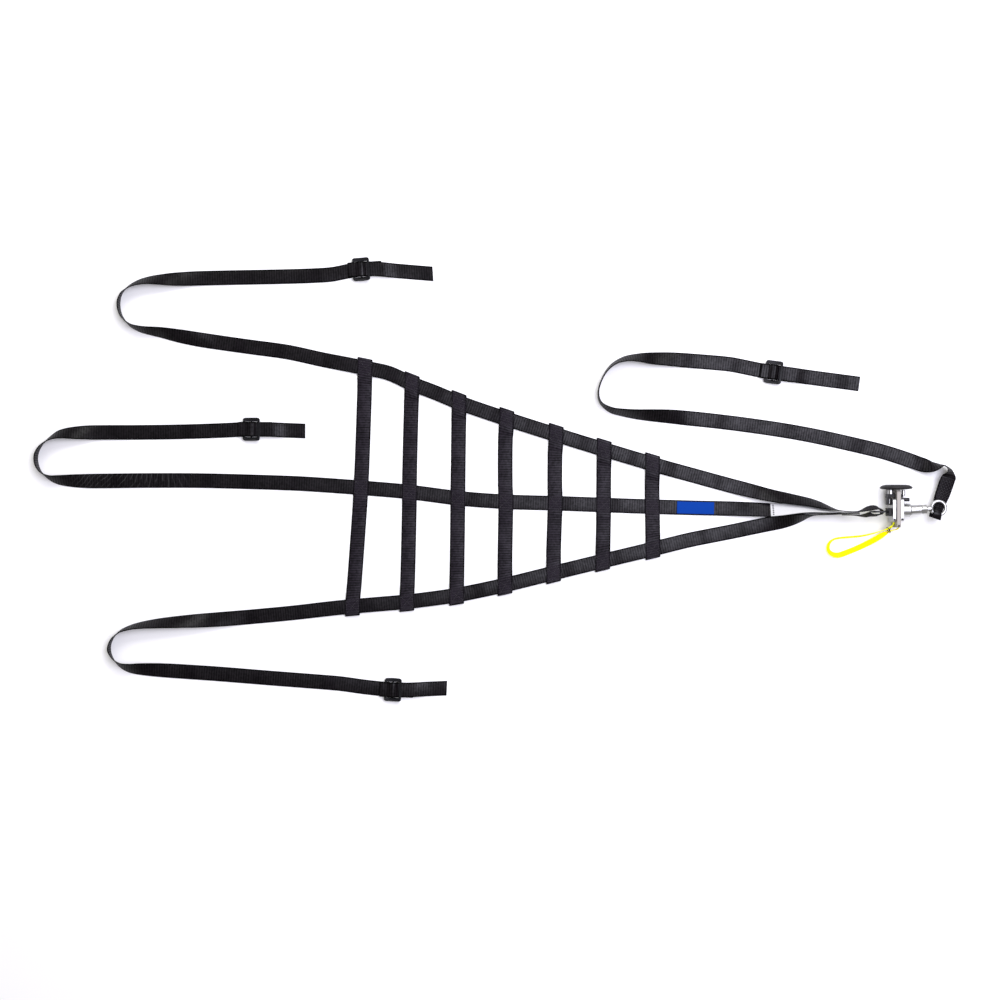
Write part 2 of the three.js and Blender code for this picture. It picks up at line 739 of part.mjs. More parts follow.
// A three-bar slide: a rounded frame with two slots, bent to the heights of its bars
function bentSlide() {
  const [u, v] = [SLIDE_LENGTH / 2, SLIDE_WIDTH / 2];
  const c = SLIDE_CORNER;
  const corner = (x, y, start) =>
    [0, 30, 60, 90].map((step) => {
      const angle = rad(start + step);
      return new THREE.Vector2(x + c * Math.cos(angle), y + c * Math.sin(angle));
    });
  const stops = [-CENTRE_BAR / 2, CENTRE_BAR / 2];
  const outline = new THREE.Shape([
    ...corner(-u + c, -v + c, 180),
    ...stops.map((stop) => new THREE.Vector2(stop, -v - SLIDE_SWELL)),
    ...corner(u - c, -v + c, 270),
    ...corner(u - c, v - c, 0),
    ...stops.map((stop) => new THREE.Vector2(-stop, v + SLIDE_SWELL)),
    ...corner(-u + c, v - c, 90),
  ]);
  const plate = solid(new THREE.ExtrudeGeometry(outline, { depth: SLIDE_THICK, bevelEnabled: false }));
  const slots = [-1, 1].map((side) => {
    const [a, b] = [side * (CENTRE_BAR / 2), side * (u - SIDE_BAR)].sort((p, q) => p - q);
    return solid(block(a, b, -SLOT_HALF_WIDTH, SLOT_HALF_WIDTH, -1, SLIDE_THICK + 1));
  });
  const geometry = geometryOf(plate.subtract(slots[0]).subtract(slots[1]));
  const points = geometry.getAttribute("position");
  for (let i = 0; i < points.count; i += 1) {
    points.setZ(i, points.getZ(i) - SLIDE_THICK / 2 + barHeight(points.getX(i)));
  }
  return geometry;
}

// Height of the slide's middle plane along it: level at the bars, sloped between them
function barHeight(along) {
  const bar = SLIDE_LENGTH / 2 - SIDE_BAR;
  const reach = bar - CENTRE_BAR / 2;
  const far = along < 0 ? BAR_HEIGHTS.left : BAR_HEIGHTS.right;
  const part = THREE.MathUtils.clamp((Math.abs(along) - CENTRE_BAR / 2) / reach, 0, 1);
  return THREE.MathUtils.lerp(BAR_HEIGHTS.centre, far, part);
}

const net = new THREE.Group();

function add(name, geometry, colour, finish = {}) {
  const material = new THREE.MeshStandardMaterial({
    color: colour,
    roughness: finish.roughness ?? 0.85,
    metalness: finish.metalness ?? 0,
  });
  const mesh = new THREE.Mesh(geometry, material);
  mesh.name = name;
  net.add(mesh);
  return mesh;
}

const METAL = { roughness: 0.35, metalness: 1 };
const PAINTED = { roughness: 0.45, metalness: 0.2 };

// Straps
const straps = {
  upper: smooth([...threadedSections(SLIDES.upper), ...routeSections([...UPPER_ROUTE, ...APEX_LOOP])]),
  middle: smooth([...threadedSections(SLIDES.middle), ...routeSections(MIDDLE_ROUTE)]),
  lower: smooth([...threadedSections(SLIDES.lower), ...routeSections(LOWER_ROUTE)]),
  hold: smooth([
    ...threadedSections(SLIDES.hold),
    ...routeSections(HOLD_ROUTE),
    ...eyeLoopSections(),
  ]),
};
add("upper_strap", band(straps.upper), COLOURS.webbing);
add("middle_strap", band(straps.middle), COLOURS.webbing);
add("lower_strap", band(straps.lower), COLOURS.webbing);
add("hold_strap", band(straps.hold), COLOURS.webbing);
CROSS_STRAPS.forEach((row, i) => {
  add(`cross_strap_${i + 1}`, band(smooth(crossStrapSections(row, straps))), COLOURS.webbing);
});
add("badge_patch", band(overlay(straps.middle, BADGE)), COLOURS.badge);
add("care_label", band(overlay(straps.middle, LABEL)), COLOURS.label);

// Slides
for (const [name, slide] of Object.entries(SLIDES)) {
  const mesh = add(`slide_${name}`, bentSlide(), COLOURS.slide, PAINTED);
  mesh.position.set(slide.x, slide.y, 0);
  mesh.rotation.z = rad(slide.turn);
}

// Push cap: a dome on a shallow cone, turned about Y
function pushCap() {
  const profile = [
    [0, CAP_TOP],
    [17, CAP_TOP],
    [22, CAP_TOP - 0.9],
    [25.2, CAP_TOP - 2.7],
    [CAP_RADIUS, CAP_TOP - 4.8],
    [CAP_RADIUS, CAP_TOP - 5.8],
    [25.2, CAP_TOP - 7],
    [20, CAP_TOP - 7.8],
    [9, CAP_UNDERSIDE],
    [0, CAP_UNDERSIDE],
  ].map(([radius, y]) => new THREE.Vector2(radius, y));
  const geometry = new THREE.LatheGeometry(profile.toReversed(), 48);
  return geometry.translate(CAP_X, 0, AXIS_Z);
}

// Guide block with a bore for the neck and a leg towards the jaw
const BLOCK = {
  x0: 659,
  x1: 671.3,
  y0: -30,
  y1: -24,
  halfHeight: 9,
  legX: 664.9,
  legY: -42.2,
  legHalf: 7,
};
const NECK = { x: 665.6, radius: 4.8, end: -26 };
function guideBlock() {
  const { x0, x1, y0, y1, halfHeight, legX, legY, legHalf } = BLOCK;
  const body = solid(block(x0, x1, y0, y1, AXIS_Z - halfHeight, AXIS_Z + halfHeight));
  const leg = solid(block(x0, legX, legY, y0 + 1, AXIS_Z - legHalf, AXIS_Z + legHalf));
  const bore = solid(rod("y", y0 - 3, y1 + 1, NECK.radius + FIT, NECK.x, AXIS_Z));
  return geometryOf(body.add(leg).subtract(bore));
}

// Jaw that takes the tongue's tip, open towards the net
const JAW = { x0: 659.8, x1: 665, y0: -61, y1: -47.5, halfHeight: 12 };
const TONGUE = {
  y: -53.6,
  thick: 3,
  x0: 633,
  bar: 640.5,
  slot: 653.8,
  shoulder: 657.8,
  tip: 663.4,
  halfHeight: 18.5,
  tipHalf: 9,
  corner: 4,
};
function jaw() {
  const { x0, x1, y0, y1, halfHeight } = JAW;
  const body = solid(block(x0, x1, y0, y1, AXIS_Z - halfHeight, AXIS_Z + halfHeight));
  const halfSlot = TONGUE.thick / 2 + FIT;
  const reach = TONGUE.tipHalf + FIT;
  const [slot0, slot1] = [TONGUE.y - halfSlot, TONGUE.y + halfSlot];
  const slot = solid(block(x0 - 1, TONGUE.tip + FIT, slot0, slot1, AXIS_Z - reach, AXIS_Z + reach));
  return geometryOf(body.subtract(slot));
}

// Tongue plate on edge: a frame round the strap's loop, and a narrower tip
function tonguePlate() {
  const [z0, z1] = [AXIS_Z - TONGUE.halfHeight, AXIS_Z + TONGUE.halfHeight];
  const [tip0, tip1] = [AXIS_Z - TONGUE.tipHalf, AXIS_Z + TONGUE.tipHalf];
  const shape = new THREE.Shape();
  shape.moveTo(TONGUE.x0 + TONGUE.corner, z0);
  shape.lineTo(TONGUE.slot, z0);
  shape.lineTo(TONGUE.shoulder, tip0);
  shape.lineTo(TONGUE.tip, tip0);
  shape.lineTo(TONGUE.tip, tip1);
  shape.lineTo(TONGUE.shoulder, tip1);
  shape.lineTo(TONGUE.slot, z1);
  shape.lineTo(TONGUE.x0 + TONGUE.corner, z1);
  shape.lineTo(TONGUE.x0, z1 - TONGUE.corner);
  shape.lineTo(TONGUE.x0, z0 + TONGUE.corner);
  shape.closePath();
  const reach = HALF_WIDTH + STRAP_FIT;
  const slot = new THREE.Path();
  slot.moveTo(TONGUE.bar, AXIS_Z - reach);
  slot.lineTo(TONGUE.bar, AXIS_Z + reach);
  slot.lineTo(TONGUE.slot, AXIS_Z + reach);
  slot.lineTo(TONGUE.slot, AXIS_Z - reach);
  slot.closePath();
  shape.holes.push(slot);
  const geometry = new THREE.ExtrudeGeometry(shape, { depth: TONGUE.thick, bevelEnabled: false });
  geometry.rotateX(Math.PI / 2);
  return geometry.translate(0, TONGUE.y + TONGUE.thick / 2, 0);
}

// Latch plate with a hole for the pull pin near its end
const PULL_PIN = { x: 674.9, y: -77.2, radius: 1.3, half: 21 };
function latchPlate() {
  const plate = solid(plateYZ(LATCH, LATCH_HALF_HEIGHT, PLATE_CORNER));
  return geometryOf(plate.subtract(solid(uprightPin(PULL_PIN.radius + FIT, LATCH_HALF_HEIGHT + 1))));
}

function uprightPin(radius, half) {
  return rod("z", AXIS_Z - half, AXIS_Z + half, radius, PULL_PIN.x, PULL_PIN.y, 16);
}

// The eye end's turned pieces: where each starts and ends before the eye's centre, and its radius
const EYE_NECK = { from: -18.8, to: -11.6, radius: 4.6 };
const SHANK = { from: -28.95, to: -17.35, radius: 3.6 };
const NUT = { from: -28.8, to: -21, radius: 8.6 };
const BARREL = { from: -47.5, to: -29.3, radius: 8.2 };
const turned = ({ from, to, radius }, sides) => rod("x", from, to, radius, 0, 0, sides);

// Eye bolt: ring, neck and shank in one
function eyeBolt() {
  const ring = solid(new THREE.TorusGeometry(EYE.ring, EYE.wire, 12, 32));
  return geometryOf(ring.add(solid(turned(EYE_NECK, 20))).add(solid(turned(SHANK, 20))));
}

// Hexagonal nut with a bore round the shank
function eyeNut() {
  const bore = { from: NUT.from - 1, to: NUT.to + 1, radius: SHANK.radius + FIT };
  return geometryOf(solid(turned(NUT, 6)).subtract(solid(turned(bore, 20))));
}

// Small pieces beside the plates
const RETURN_ROD = { x: 687.3, from: -27.2, to: -17.1, radius: 3 };
const BRACKET = { x0: 678.6, x1: 683.8, y0: -30.2, y1: -24, halfHeight: 12 };
const SIDE_SCREW = { from: 684.1, to: 694.4, y: -33.4, above: 10.5, radius: 3 };
const BOSS = { from: 684.1, to: 697.9, radius: 11.2 };

function capNeck() {
  return rod("y", NECK.end, CAP_UNDERSIDE - STRAP_FIT, NECK.radius, NECK.x, AXIS_Z);
}

function returnRod() {
  return rod("y", RETURN_ROD.from, RETURN_ROD.to, RETURN_ROD.radius, RETURN_ROD.x, AXIS_Z, 20);
}

function guideBracket() {
  const { x0, x1, y0, y1, halfHeight } = BRACKET;
  return block(x0, x1, y0, y1, AXIS_Z - halfHeight, AXIS_Z + halfHeight);
}

function sideScrew() {
  const { from, to, y, above, radius } = SIDE_SCREW;
  return rod("x", from, to, radius, y, AXIS_Z + above, 20);
}

add("push_cap", pushCap(), COLOURS.nylon, PAINTED);
add("cap_neck", capNeck(), COLOURS.steel, METAL);
add("guide_block", guideBlock(), COLOURS.nylon, PAINTED);
add("guide_plate_left", plateYZ(GUIDE_LEFT, PLATE_HALF_HEIGHT, PLATE_CORNER), COLOURS.steel, METAL);
add("guide_plate_right", plateYZ(GUIDE_RIGHT, PLATE_HALF_HEIGHT, PLATE_CORNER), COLOURS.steel, METAL);
add("latch_plate", latchPlate(), COLOURS.brass, METAL);
add("pull_pin", uprightPin(PULL_PIN.radius, PULL_PIN.half), COLOURS.darkSteel, METAL);
add("return_rod", returnRod(), COLOURS.steel, METAL);
add("guide_bracket", guideBracket(), COLOURS.nylon, PAINTED);
add("side_screw", sideScrew(), COLOURS.darkSteel, METAL);
add("jaw", jaw(), COLOURS.nylon, PAINTED);
add("tongue_plate", tonguePlate(), COLOURS.darkSteel, METAL);
add("eye_boss", rod("x", BOSS.from, BOSS.to, BOSS.radius, AXIS_Y, AXIS_Z, 32), COLOURS.steel, METAL);

const eyeEnd = new THREE.Group();
eyeEnd.position.set(EYE.x, EYE.y, AXIS_Z);
eyeEnd.rotation.z = rad(EYE_TURN);
net.add(eyeEnd);
eyeEnd.add(add("eye_barrel", turned(BARREL, 28), COLOURS.steel, METAL));
eyeEnd.add(add("eye_nut", eyeNut(), COLOURS.steel, METAL));
eyeEnd.add(add("eye_bolt", eyeBolt(), COLOURS.steel, METAL));

const tapeSections = routeSections(TAPE_ROUTE, TAPE_WIDTH / 2, TAPE_THICK);
add("pull_tape", band(smooth(tapeSections)), COLOURS.tape);

net.position.set(-PLAN_CENTRE.x, -PLAN_CENTRE.y, 0);

export default net;
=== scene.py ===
"""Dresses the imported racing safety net: webbing, stitching, slides, release, pull tape and studio."""

import math

import bmesh
import bpy
from bpy.props import FloatProperty, FloatVectorProperty, IntProperty, PointerProperty
from mathutils import Matrix, Vector


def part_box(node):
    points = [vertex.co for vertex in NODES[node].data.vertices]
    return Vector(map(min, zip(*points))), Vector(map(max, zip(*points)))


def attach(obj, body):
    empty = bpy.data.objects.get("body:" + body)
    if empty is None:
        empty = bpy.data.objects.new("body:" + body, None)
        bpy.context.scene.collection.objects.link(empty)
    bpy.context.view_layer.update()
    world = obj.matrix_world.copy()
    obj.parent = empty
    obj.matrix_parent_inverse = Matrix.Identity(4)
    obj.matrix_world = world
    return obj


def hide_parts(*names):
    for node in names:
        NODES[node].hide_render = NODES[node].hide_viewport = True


bl_info = {
    "name": "Racing Safety Net",
    "version": (1, 0, 0),
    "blender": (4, 5, 0),
    "location": "View3D > Sidebar > Net",
    "description": "Webbing, stitching, slides, release, pull tape and studio of a laid-out safety net",
    "category": "Object",
}

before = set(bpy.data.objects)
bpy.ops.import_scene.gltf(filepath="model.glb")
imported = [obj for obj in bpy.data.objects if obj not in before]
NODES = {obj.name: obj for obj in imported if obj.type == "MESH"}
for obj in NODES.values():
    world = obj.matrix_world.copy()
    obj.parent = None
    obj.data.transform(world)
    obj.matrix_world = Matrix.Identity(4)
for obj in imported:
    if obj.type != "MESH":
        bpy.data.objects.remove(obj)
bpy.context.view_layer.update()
NET_BODY = "net"
BUTTON_BODY = "push_button"
UP = Vector((0, 0, 1))
MM = 0.001
WEBBING_WIDTH = 25 * MM
# Sections that a strap is drawn with to each pitch of its ribs
RIB_STEPS = 6
# The attribute that says how far a place on a band is sewn down, from 0 to 1
SEWN = "sewn"

LONG_STRAPS = ("upper_strap", "middle_strap", "lower_strap", "hold_strap")
CROSS_STRAPS = tuple(f"cross_strap_{i}" for i in range(1, 8))
SLIDES = ("slide_upper", "slide_middle", "slide_lower", "slide_hold")


# Properties


class NetSizes(bpy.types.PropertyGroup):
    """Sizes of the net's sewn and moulded detail"""

    # The light and dark of each rib is painted highlight and painted shade in the webbing's colour
    rib_pitch: FloatProperty(
        name="Rib pitch", description="Length of one light and one dark rib along the webbing",
        default=4.2 * MM, min=1 * MM, subtype="DISTANCE", unit="LENGTH")
    rib_height: FloatProperty(
        name="Rib height", description="How far the ribs stand up on both faces together",
        default=0.2 * MM, min=0, subtype="DISTANCE", unit="LENGTH")
    stitch: FloatProperty(
        name="Stitch", description="Length of one stitch",
        default=2.7 * MM, min=1 * MM, subtype="DISTANCE", unit="LENGTH")
    thread: FloatProperty(
        name="Thread", description="Width of the sewing thread",
        default=0.6 * MM, min=0.2 * MM, subtype="DISTANCE", unit="LENGTH")
    sewn_box: FloatProperty(
        name="Sewn box", description="Side of the stitched square at a crossing",
        default=20 * MM, min=5 * MM, subtype="DISTANCE", unit="LENGTH")
    edge_steps: IntProperty(
        name="Edge steps", description="Facets across a rounded edge", default=2, min=1, max=4)


class NetColours(bpy.types.PropertyGroup):
    """Colours of the net's materials"""

    webbing: FloatVectorProperty(
        name="Webbing", description="Black polyester webbing",
        default=(0.0023, 0.0016, 0.0024), size=3, min=0, max=1, subtype="COLOR")
    # The cross webbing is the same black webbing painted lighter: painted light, standing in for the
    # light the cross straps catch
    cross_webbing_lit: FloatVectorProperty(
        name="Cross webbing", description="Duller black webbing of the cross straps",
        default=(0.008, 0.0065, 0.0092), size=3, min=0, max=1, subtype="COLOR")
    thread: FloatVectorProperty(
        name="Thread", description="Black sewing thread",
        default=(0.0045, 0.0037, 0.005), size=3, min=0, max=1, subtype="COLOR")
    badge: FloatVectorProperty(
        name="Badge", description="Blue woven badge",
        default=(0.001, 0.04, 0.29), size=3, min=0, max=1, subtype="COLOR")
    label: FloatVectorProperty(
        name="Label", description="White care label",
        default=(0.6, 0.6, 0.6), size=3, min=0, max=1, subtype="COLOR")
    tape: FloatVectorProperty(
        name="Tape", description="Fluorescent pull tape",
        default=(0.8, 0.82, 0.0), size=3, min=0, max=1, subtype="COLOR")
    paint: FloatVectorProperty(
        name="Slide paint", description="Black paint of the slides",
        default=(0.005, 0.005, 0.006), size=3, min=0, max=1, subtype="COLOR")
    nylon: FloatVectorProperty(
        name="Nylon", description="Moulded black nylon of the release",
        default=(0.0145, 0.0137, 0.0145), size=3, min=0, max=1, subtype="COLOR")
    steel: FloatVectorProperty(
        name="Steel", description="Bright steel of the release",
        default=(0.5, 0.5, 0.5), size=3, min=0, max=1, subtype="COLOR")
    plate: FloatVectorProperty(
        name="Latch plate", description="Warm grey steel of the latch plate",
        default=(0.36, 0.335, 0.31), size=3, min=0, max=1, subtype="COLOR")
    dark_steel: FloatVectorProperty(
        name="Dark steel", description="Blackened steel of the tongue and pins",
        default=(0.035, 0.034, 0.035), size=3, min=0, max=1, subtype="COLOR")
    floor: FloatVectorProperty(
        name="Floor", description="Pale studio floor",
        default=(0.93, 0.93, 0.925), size=3, min=0, max=1, subtype="COLOR")


# Shader helpers


class Wire:
    """A socket of a material that Python's arithmetic adds Math nodes to"""

    def __init__(self, finish, socket):
        self.finish = finish
        self.socket = socket

    def math(self, operation, *values):
        settings = {"operation": operation}
        return self.finish.add("ShaderNodeMath", settings, list(values))

    def __add__(self, other):
        return self.math("ADD", self, other)

    def __radd__(self, other):
        return self.math("ADD", other, self)

    def __sub__(self, other):
        return self.math("SUBTRACT", self, other)

    def __rsub__(self, other):
        return self.math("SUBTRACT", other, self)

    def __mul__(self, other):
        return self.math("MULTIPLY", self, other)

    def __rmul__(self, other):
        return self.math("MULTIPLY", other, self)

    def __truediv__(self, other):
        return self.math("DIVIDE", self, other)

    def sine(self):
        return self.math("SINE", self)

    def size(self):
        return self.math("ABSOLUTE", self)

    def part(self):
        return self.math("FRACT", self)

    def wave(self, pitch):
        """Rises and falls smoothly between 0 and 1, once in every pitch"""
        return (self * (2 * math.pi / pitch)).sine() * 0.5 + 0.5

    def step(self, low, high):
        """0 below low, 1 above high and smooth between"""
        settings = {"interpolation_type": "SMOOTHSTEP"}
        values = {"Value": self, "From Min": low, "From Max": high}
        return self.finish.add("ShaderNodeMapRange", settings, values)


class Finish:
    """A material built on one Principled shader"""

    def __init__(self, name, **fixed):
        self.material = bpy.data.materials.new(name)
        self.material.use_nodes = True
        self.tree = self.material.node_tree
        self.shader = self.tree.nodes["Principled BSDF"]
        for socket, value in fixed.items():
            self.shader.inputs[socket.replace("_", " ")].default_value = value

    def add(self, kind, settings=None, values=None, out=0):
        """A node of one kind, its settings first, then the values or links of its sockets"""
        node = self.tree.nodes.new(kind)
        for key, value in (settings or {}).items():
            setattr(node, key, value)
        values = values or {}
        pairs = values.items() if isinstance(values, dict) else enumerate(values)
        for key, value in pairs:
            self.join(node.inputs[key], value)
        return Wire(self, node.outputs[out])

    def join(self, socket, value):
        if isinstance(value, Wire):
            self.tree.links.new(value.socket, socket)
        elif socket.type == "RGBA":
            socket.default_value = (*value, 1)
        else:
            socket.default_value = value

    def coordinates(self, kind="Object"):
        """The Object coordinates, or a band's UV, which is across it and along it, in metres"""
        return self.add("ShaderNodeTexCoord", out={"Object": 3, "UV": 2}[kind])

    def millimetres(self, place):
        """The three parts of a place, in millimetres"""
        return [self.add("ShaderNodeSeparateXYZ", None, [place], out=i) / MM for i in range(3)]

    def noise(self, place, scale, detail, roughness):
        """Cloudy noise, with as many clouds to the metre as its scale"""
        values = {"Vector": place, "Scale": scale, "Detail": detail, "Roughness": roughness}
        return self.add("ShaderNodeTexNoise", None, values)

    def streaks(self, place, scales, detail, roughness):
        """Noise with a scale of its own along each of the place's axes"""
        drawn = self.add("ShaderNodeVectorMath", {"operation": "MULTIPLY"}, [place, scales])
        return self.noise(drawn, 1.0, detail, roughness)

    def blend(self, factor, first, second):
        """A colour between two, by a factor"""
        settings = {"data_type": "RGBA", "clamp_factor": True}
        return self.add("ShaderNodeMix", settings, {0: factor, 6: first, 7: second}, out=2)

    def colour(self, value):
        self.join(self.shader.inputs["Base Color"], value)

    def rough(self, value):
        self.join(self.shader.inputs["Roughness"], value)

    def coat(self, value):
        self.join(self.shader.inputs["Coat Weight"], value)

    def bump(self, height, distance):
        """Relief whose height of 1 stands distance metres"""
        values = {"Height": height, "Distance": distance}
        self.join(self.shader.inputs["Normal"], self.add("ShaderNodeBump", None, values))


# Materials: lengths are in millimetres, and a number beside a pattern is the share it has


def tinted(colour, factor):
    return tuple(min(c * factor, 1) for c in colour)


def webbing_finish(name, colour, sizes, gloss=1, scuffs=None):
    """Ribbed polyester webbing with painted highlight and shade on its ribs, darker along its edges and
    duller where it is sewn
    """
    half_width, rib_pitch = WEBBING_WIDTH / MM / 2, sizes.rib_pitch / MM
    edge_starts, edge_full = half_width - 2.4, half_width - 1.4
    yarn_pitch, row_shift = 1.1, 0.55
    f = Finish(name, Specular_IOR_Level=0.03, Coat_Roughness=0.33, Coat_IOR=1.5)
    weave, where = f.coordinates("UV"), f.coordinates()
    across, along, _ = f.millimetres(weave)
    border = (across - half_width).size().step(edge_starts, edge_full)
    rib = (along + rib_pitch / 4).wave(rib_pitch)
    second_row = (along / (2 * rib_pitch)).part().step(0.49, 0.51)
    yarn = (across + second_row * row_shift).wave(yarn_pitch)
    fibre = f.streaks(weave, (2600, 900, 1), 4.0, 0.65).step(0.3, 0.7)
    band = f.streaks(weave, (2, 26, 0), 1.0, 0.4).step(0.34, 0.5)
    fuzz = f.streaks(weave, (520, 520, 1), 2.0, 0.5)
    blotch = f.noise(where, 38.0, 3.0, 0.5).step(0.3, 0.7)
    mottle = f.noise(where, 260.0, 3.0, 0.6).step(0.32, 0.68)
    lint = f.noise(where, 900.0, 2.0, 0.6).step(0.73, 0.8)
    sewn = f.add("ShaderNodeAttribute", {"attribute_name": SEWN}, out=2)
    # The light and dark ribs in the colour are painted highlight and painted shade; fibre, mottle, blotch
    # and lint are the webbing's own uneven tone
    tone = 0.12 + rib * 0.5 + yarn * 0.1 + fibre * 0.3 + mottle * 0.35 + blotch * 0.2 - border * 0.5
    lit = tone * (1 - sewn * 0.35) + sewn * (fuzz * 0.6)
    lit = lit.step(0.25, 1.6) + sewn * 0.15
    shade = f.blend(lit, tinted(colour, 0.1), tinted(colour, 3))
    shade = f.blend(lint * 0.18, shade, tinted(colour, 9))
    if scuffs:
        shade = scuffs(f, shade, colour)
    f.colour(shade)
    f.rough(0.5 - rib * 0.1 + border * 0.2 + fibre * 0.06 + mottle * 0.14 + sewn * 0.15)
    lustre = (lit * 0.32 + 0.05) * (band * 0.55 + 0.6)
    f.coat(lustre * gloss * (1 - sewn * 0.7) * (1 - border * 0.35))
    grain = rib * 0.1 * (1 - border) + yarn * 0.12 + fibre * 0.2 + mottle * 0.5 + sewn * fibre * 0.2
    f.bump(grain, 0.28 * MM)
    return f.material


def chalk_scuffs(f, shade, colour):
    """Faint rub marks across the middle strap near its U turn, leaning more towards the turn"""
    spacing, drift, upright_x = 9.2, 16, -560
    chalk = tinted((1, 1, 1.02), colour[1] * 26)
    where = f.coordinates()
    x, y, _ = f.millimetres(where)
    lean = (x - upright_x) * 0.006
    slant = lean.math("SINE", lean * 1.4) * 1.1
    line = ((x + y * slant + f.noise(where, 30.0, 2.0, 0.5) * drift) / spacing).part() - 0.5
    stroke = 1 - line.size().step(0.03, 0.1)
    patchy = f.noise(where, 55.0, 2.0, 0.6).step(0.32, 0.58)
    near_turn = x.step(-735, -690) * (1 - x.step(-560, -500))
    on_strap = y.step(-30, -20) * (1 - y.step(16, 24))
    return f.blend(stroke * patchy * near_turn * on_strap * 0.8, shade, chalk)


def thread_finish(colour):
    """Twisted sewing thread with a slight sheen"""
    f = Finish("thread", Specular_IOR_Level=0.4, Sheen_Weight=0.2)
    twist = f.noise(f.coordinates(), 1500.0, 2.0, 0.6)
    f.colour(f.blend(twist.step(0.3, 0.7), tinted(colour, 0.6), tinted(colour, 1.7)))
    f.rough(0.55 + twist * 0.25)
    f.bump(twist, 0.1 * MM)
    return f.material


def woven_finish(name, colour, width, length, edge):
    """Flat woven patch or label with a turned edge, whose width is given in millimetres"""
    half_width, half_length = width / MM / 2, length / MM / 2
    fold = 0.35
    warp_pitch, weft_pitch = 0.62, 0.5
    f = Finish(name, Specular_IOR_Level=0.08)
    weave = f.coordinates("UV")
    across, along, _ = f.millimetres(weave)
    side = (across - half_width).size().step(half_width - edge, half_width - edge + fold)
    end = (along - half_length).size().step(half_length - edge, half_length - edge + fold)
    border = side.math("MAXIMUM", side, end)
    warp, weft = across.wave(warp_pitch), along.wave(weft_pitch)
    cloth = f.streaks(weave, (700, 700, 1), 4.0, 0.6)
    tone = warp * 0.25 + weft * 0.25 + cloth * 0.7 - border * 0.25
    f.colour(f.blend(tone.step(0.2, 1.0), tinted(colour, 0.82), tinted(colour, 1.1)))
    f.rough(0.6 + cloth * 0.2)
    f.bump(warp * 0.4 + weft * 0.4 + cloth * 0.4 + border * 0.8, 0.12 * MM)
    return f.material


def tape_finish(colour):
    """Fluorescent pull tape: fine ribs, a first stretch painted warmer as shade, grime, darker edges,
    painted shade in its rib valleys and a little painted glow
    """
    half_width, rib_pitch, wale_pitch = 4.75, 1.2, 0.9
    shade_orange, soil_and_shade = (0.9, 0.62, 0.0), (0.35, 0.34, 0.01)
    # The glow is painted light: the tape emits light though it is no lamp
    glow = 0.4
    f = Finish("fluorescent_tape", Specular_IOR_Level=0.08, Emission_Strength=glow)
    across, along, _ = f.millimetres(f.coordinates("UV"))
    where = f.coordinates()
    rib, wale = along.wave(rib_pitch), across.wave(wale_pitch)
    grime = f.noise(where, 60.0, 4.0, 0.6).step(0.45, 0.75)
    # The first stretch is painted warmer: painted shade
    shaded_stretch = (1 - along.step(90, 150)) * f.noise(where, 40.0, 2.0, 0.5).step(0.3, 0.6)
    edge = (across - half_width).size().step(4.0, 4.6)
    shade = f.blend(shaded_stretch * 0.75, colour, shade_orange)
    # Grime and the edges darken towards this colour, and painted shade darkens the rib valleys
    shade = f.blend(grime * 0.22 + edge * 0.15 + (1 - rib) * 0.1, shade, soil_and_shade)
    f.colour(shade)
    f.join(f.shader.inputs["Emission Color"], shade)
    f.rough(0.62 + wale * 0.12)
    f.bump(rib * 0.5 + wale * 0.5, 0.12 * MM)
    return f.material


def paint_finish(colour):
    """Black paint over pressed steel, rubbed grey in spots"""
    grey = (0.03, 0.03, 0.032)
    f = Finish("slide_paint", Specular_IOR_Level=0.08, Coat_Roughness=0.3)
    where = f.coordinates()
    peel = f.noise(where, 700.0, 3.0, 0.5)
    rubbed = f.noise(where, 120.0, 5.0, 0.7).step(0.66, 0.76)
    f.colour(f.blend(rubbed * 0.35, f.blend(peel, tinted(colour, 0.8), tinted(colour, 1.5)), grey))
    f.rough(0.36 + peel * 0.16 + rubbed * 0.1)
    f.coat(0.04 + peel * 0.06)
    f.bump(peel, 0.08 * MM)
    return f.material


def nylon_finish(name, colour):
    """Moulded nylon with a fine spark-eroded grain"""
    f = Finish(name, Specular_IOR_Level=0.22)
    where = f.coordinates()
    grain = f.noise(where, 1300.0, 3.0, 0.6)
    haze = f.noise(where, 75.0, 3.0, 0.6)
    scratch = f.streaks(where, (60, 900, 400), 3.0, 0.7).step(0.64, 0.7)
    worn = haze.step(0.3, 0.7) * 0.6 + scratch * 0.4
    f.colour(f.blend(worn, tinted(colour, 0.8), tinted(colour, 2.2)))
    f.rough(0.42 + haze * 0.14 + grain * 0.1)
    f.bump(grain, 0.1 * MM)
    return f.material


def steel_finish(name, colour, rough, brush, stain, metallic=1.0, shine=0.5):
    """Bright or dark steel with brushed lines, spots and handling marks"""
    f = Finish(name, Metallic=metallic, Specular_IOR_Level=shine)
    where = f.coordinates()
    lines = f.streaks(where, brush, 4.0, 0.6)
    spots = f.noise(where, 420.0, 4.0, 0.65).step(0.55, 0.8)
    stained = spots * stain
    smear = f.noise(where, 60.0, 3.0, 0.6)
    shade = f.blend(lines.step(0.3, 0.7) * 0.5, tinted(colour, 0.86), tinted(colour, 1.06))
    f.colour(f.blend(stained, shade, tinted(colour, 0.45)))
    f.rough(rough + lines * 0.12 + smear * 0.1 + stained * 0.3)
    f.bump(lines * 0.5 + spots * 0.4, 0.04 * MM)
    return f.material


def floor_finish(colour):
    """Pale matt floor with a barely uneven tone"""
    f = Finish("floor", Specular_IOR_Level=0.15)
    soft = f.noise(f.coordinates(), 3.0, 2.0, 0.5)
    f.colour(f.blend(soft * 0.5, colour, tinted(colour, 0.985)))
    f.rough(0.9 + soft * 0.05)
    return f.material


# Meshes and objects


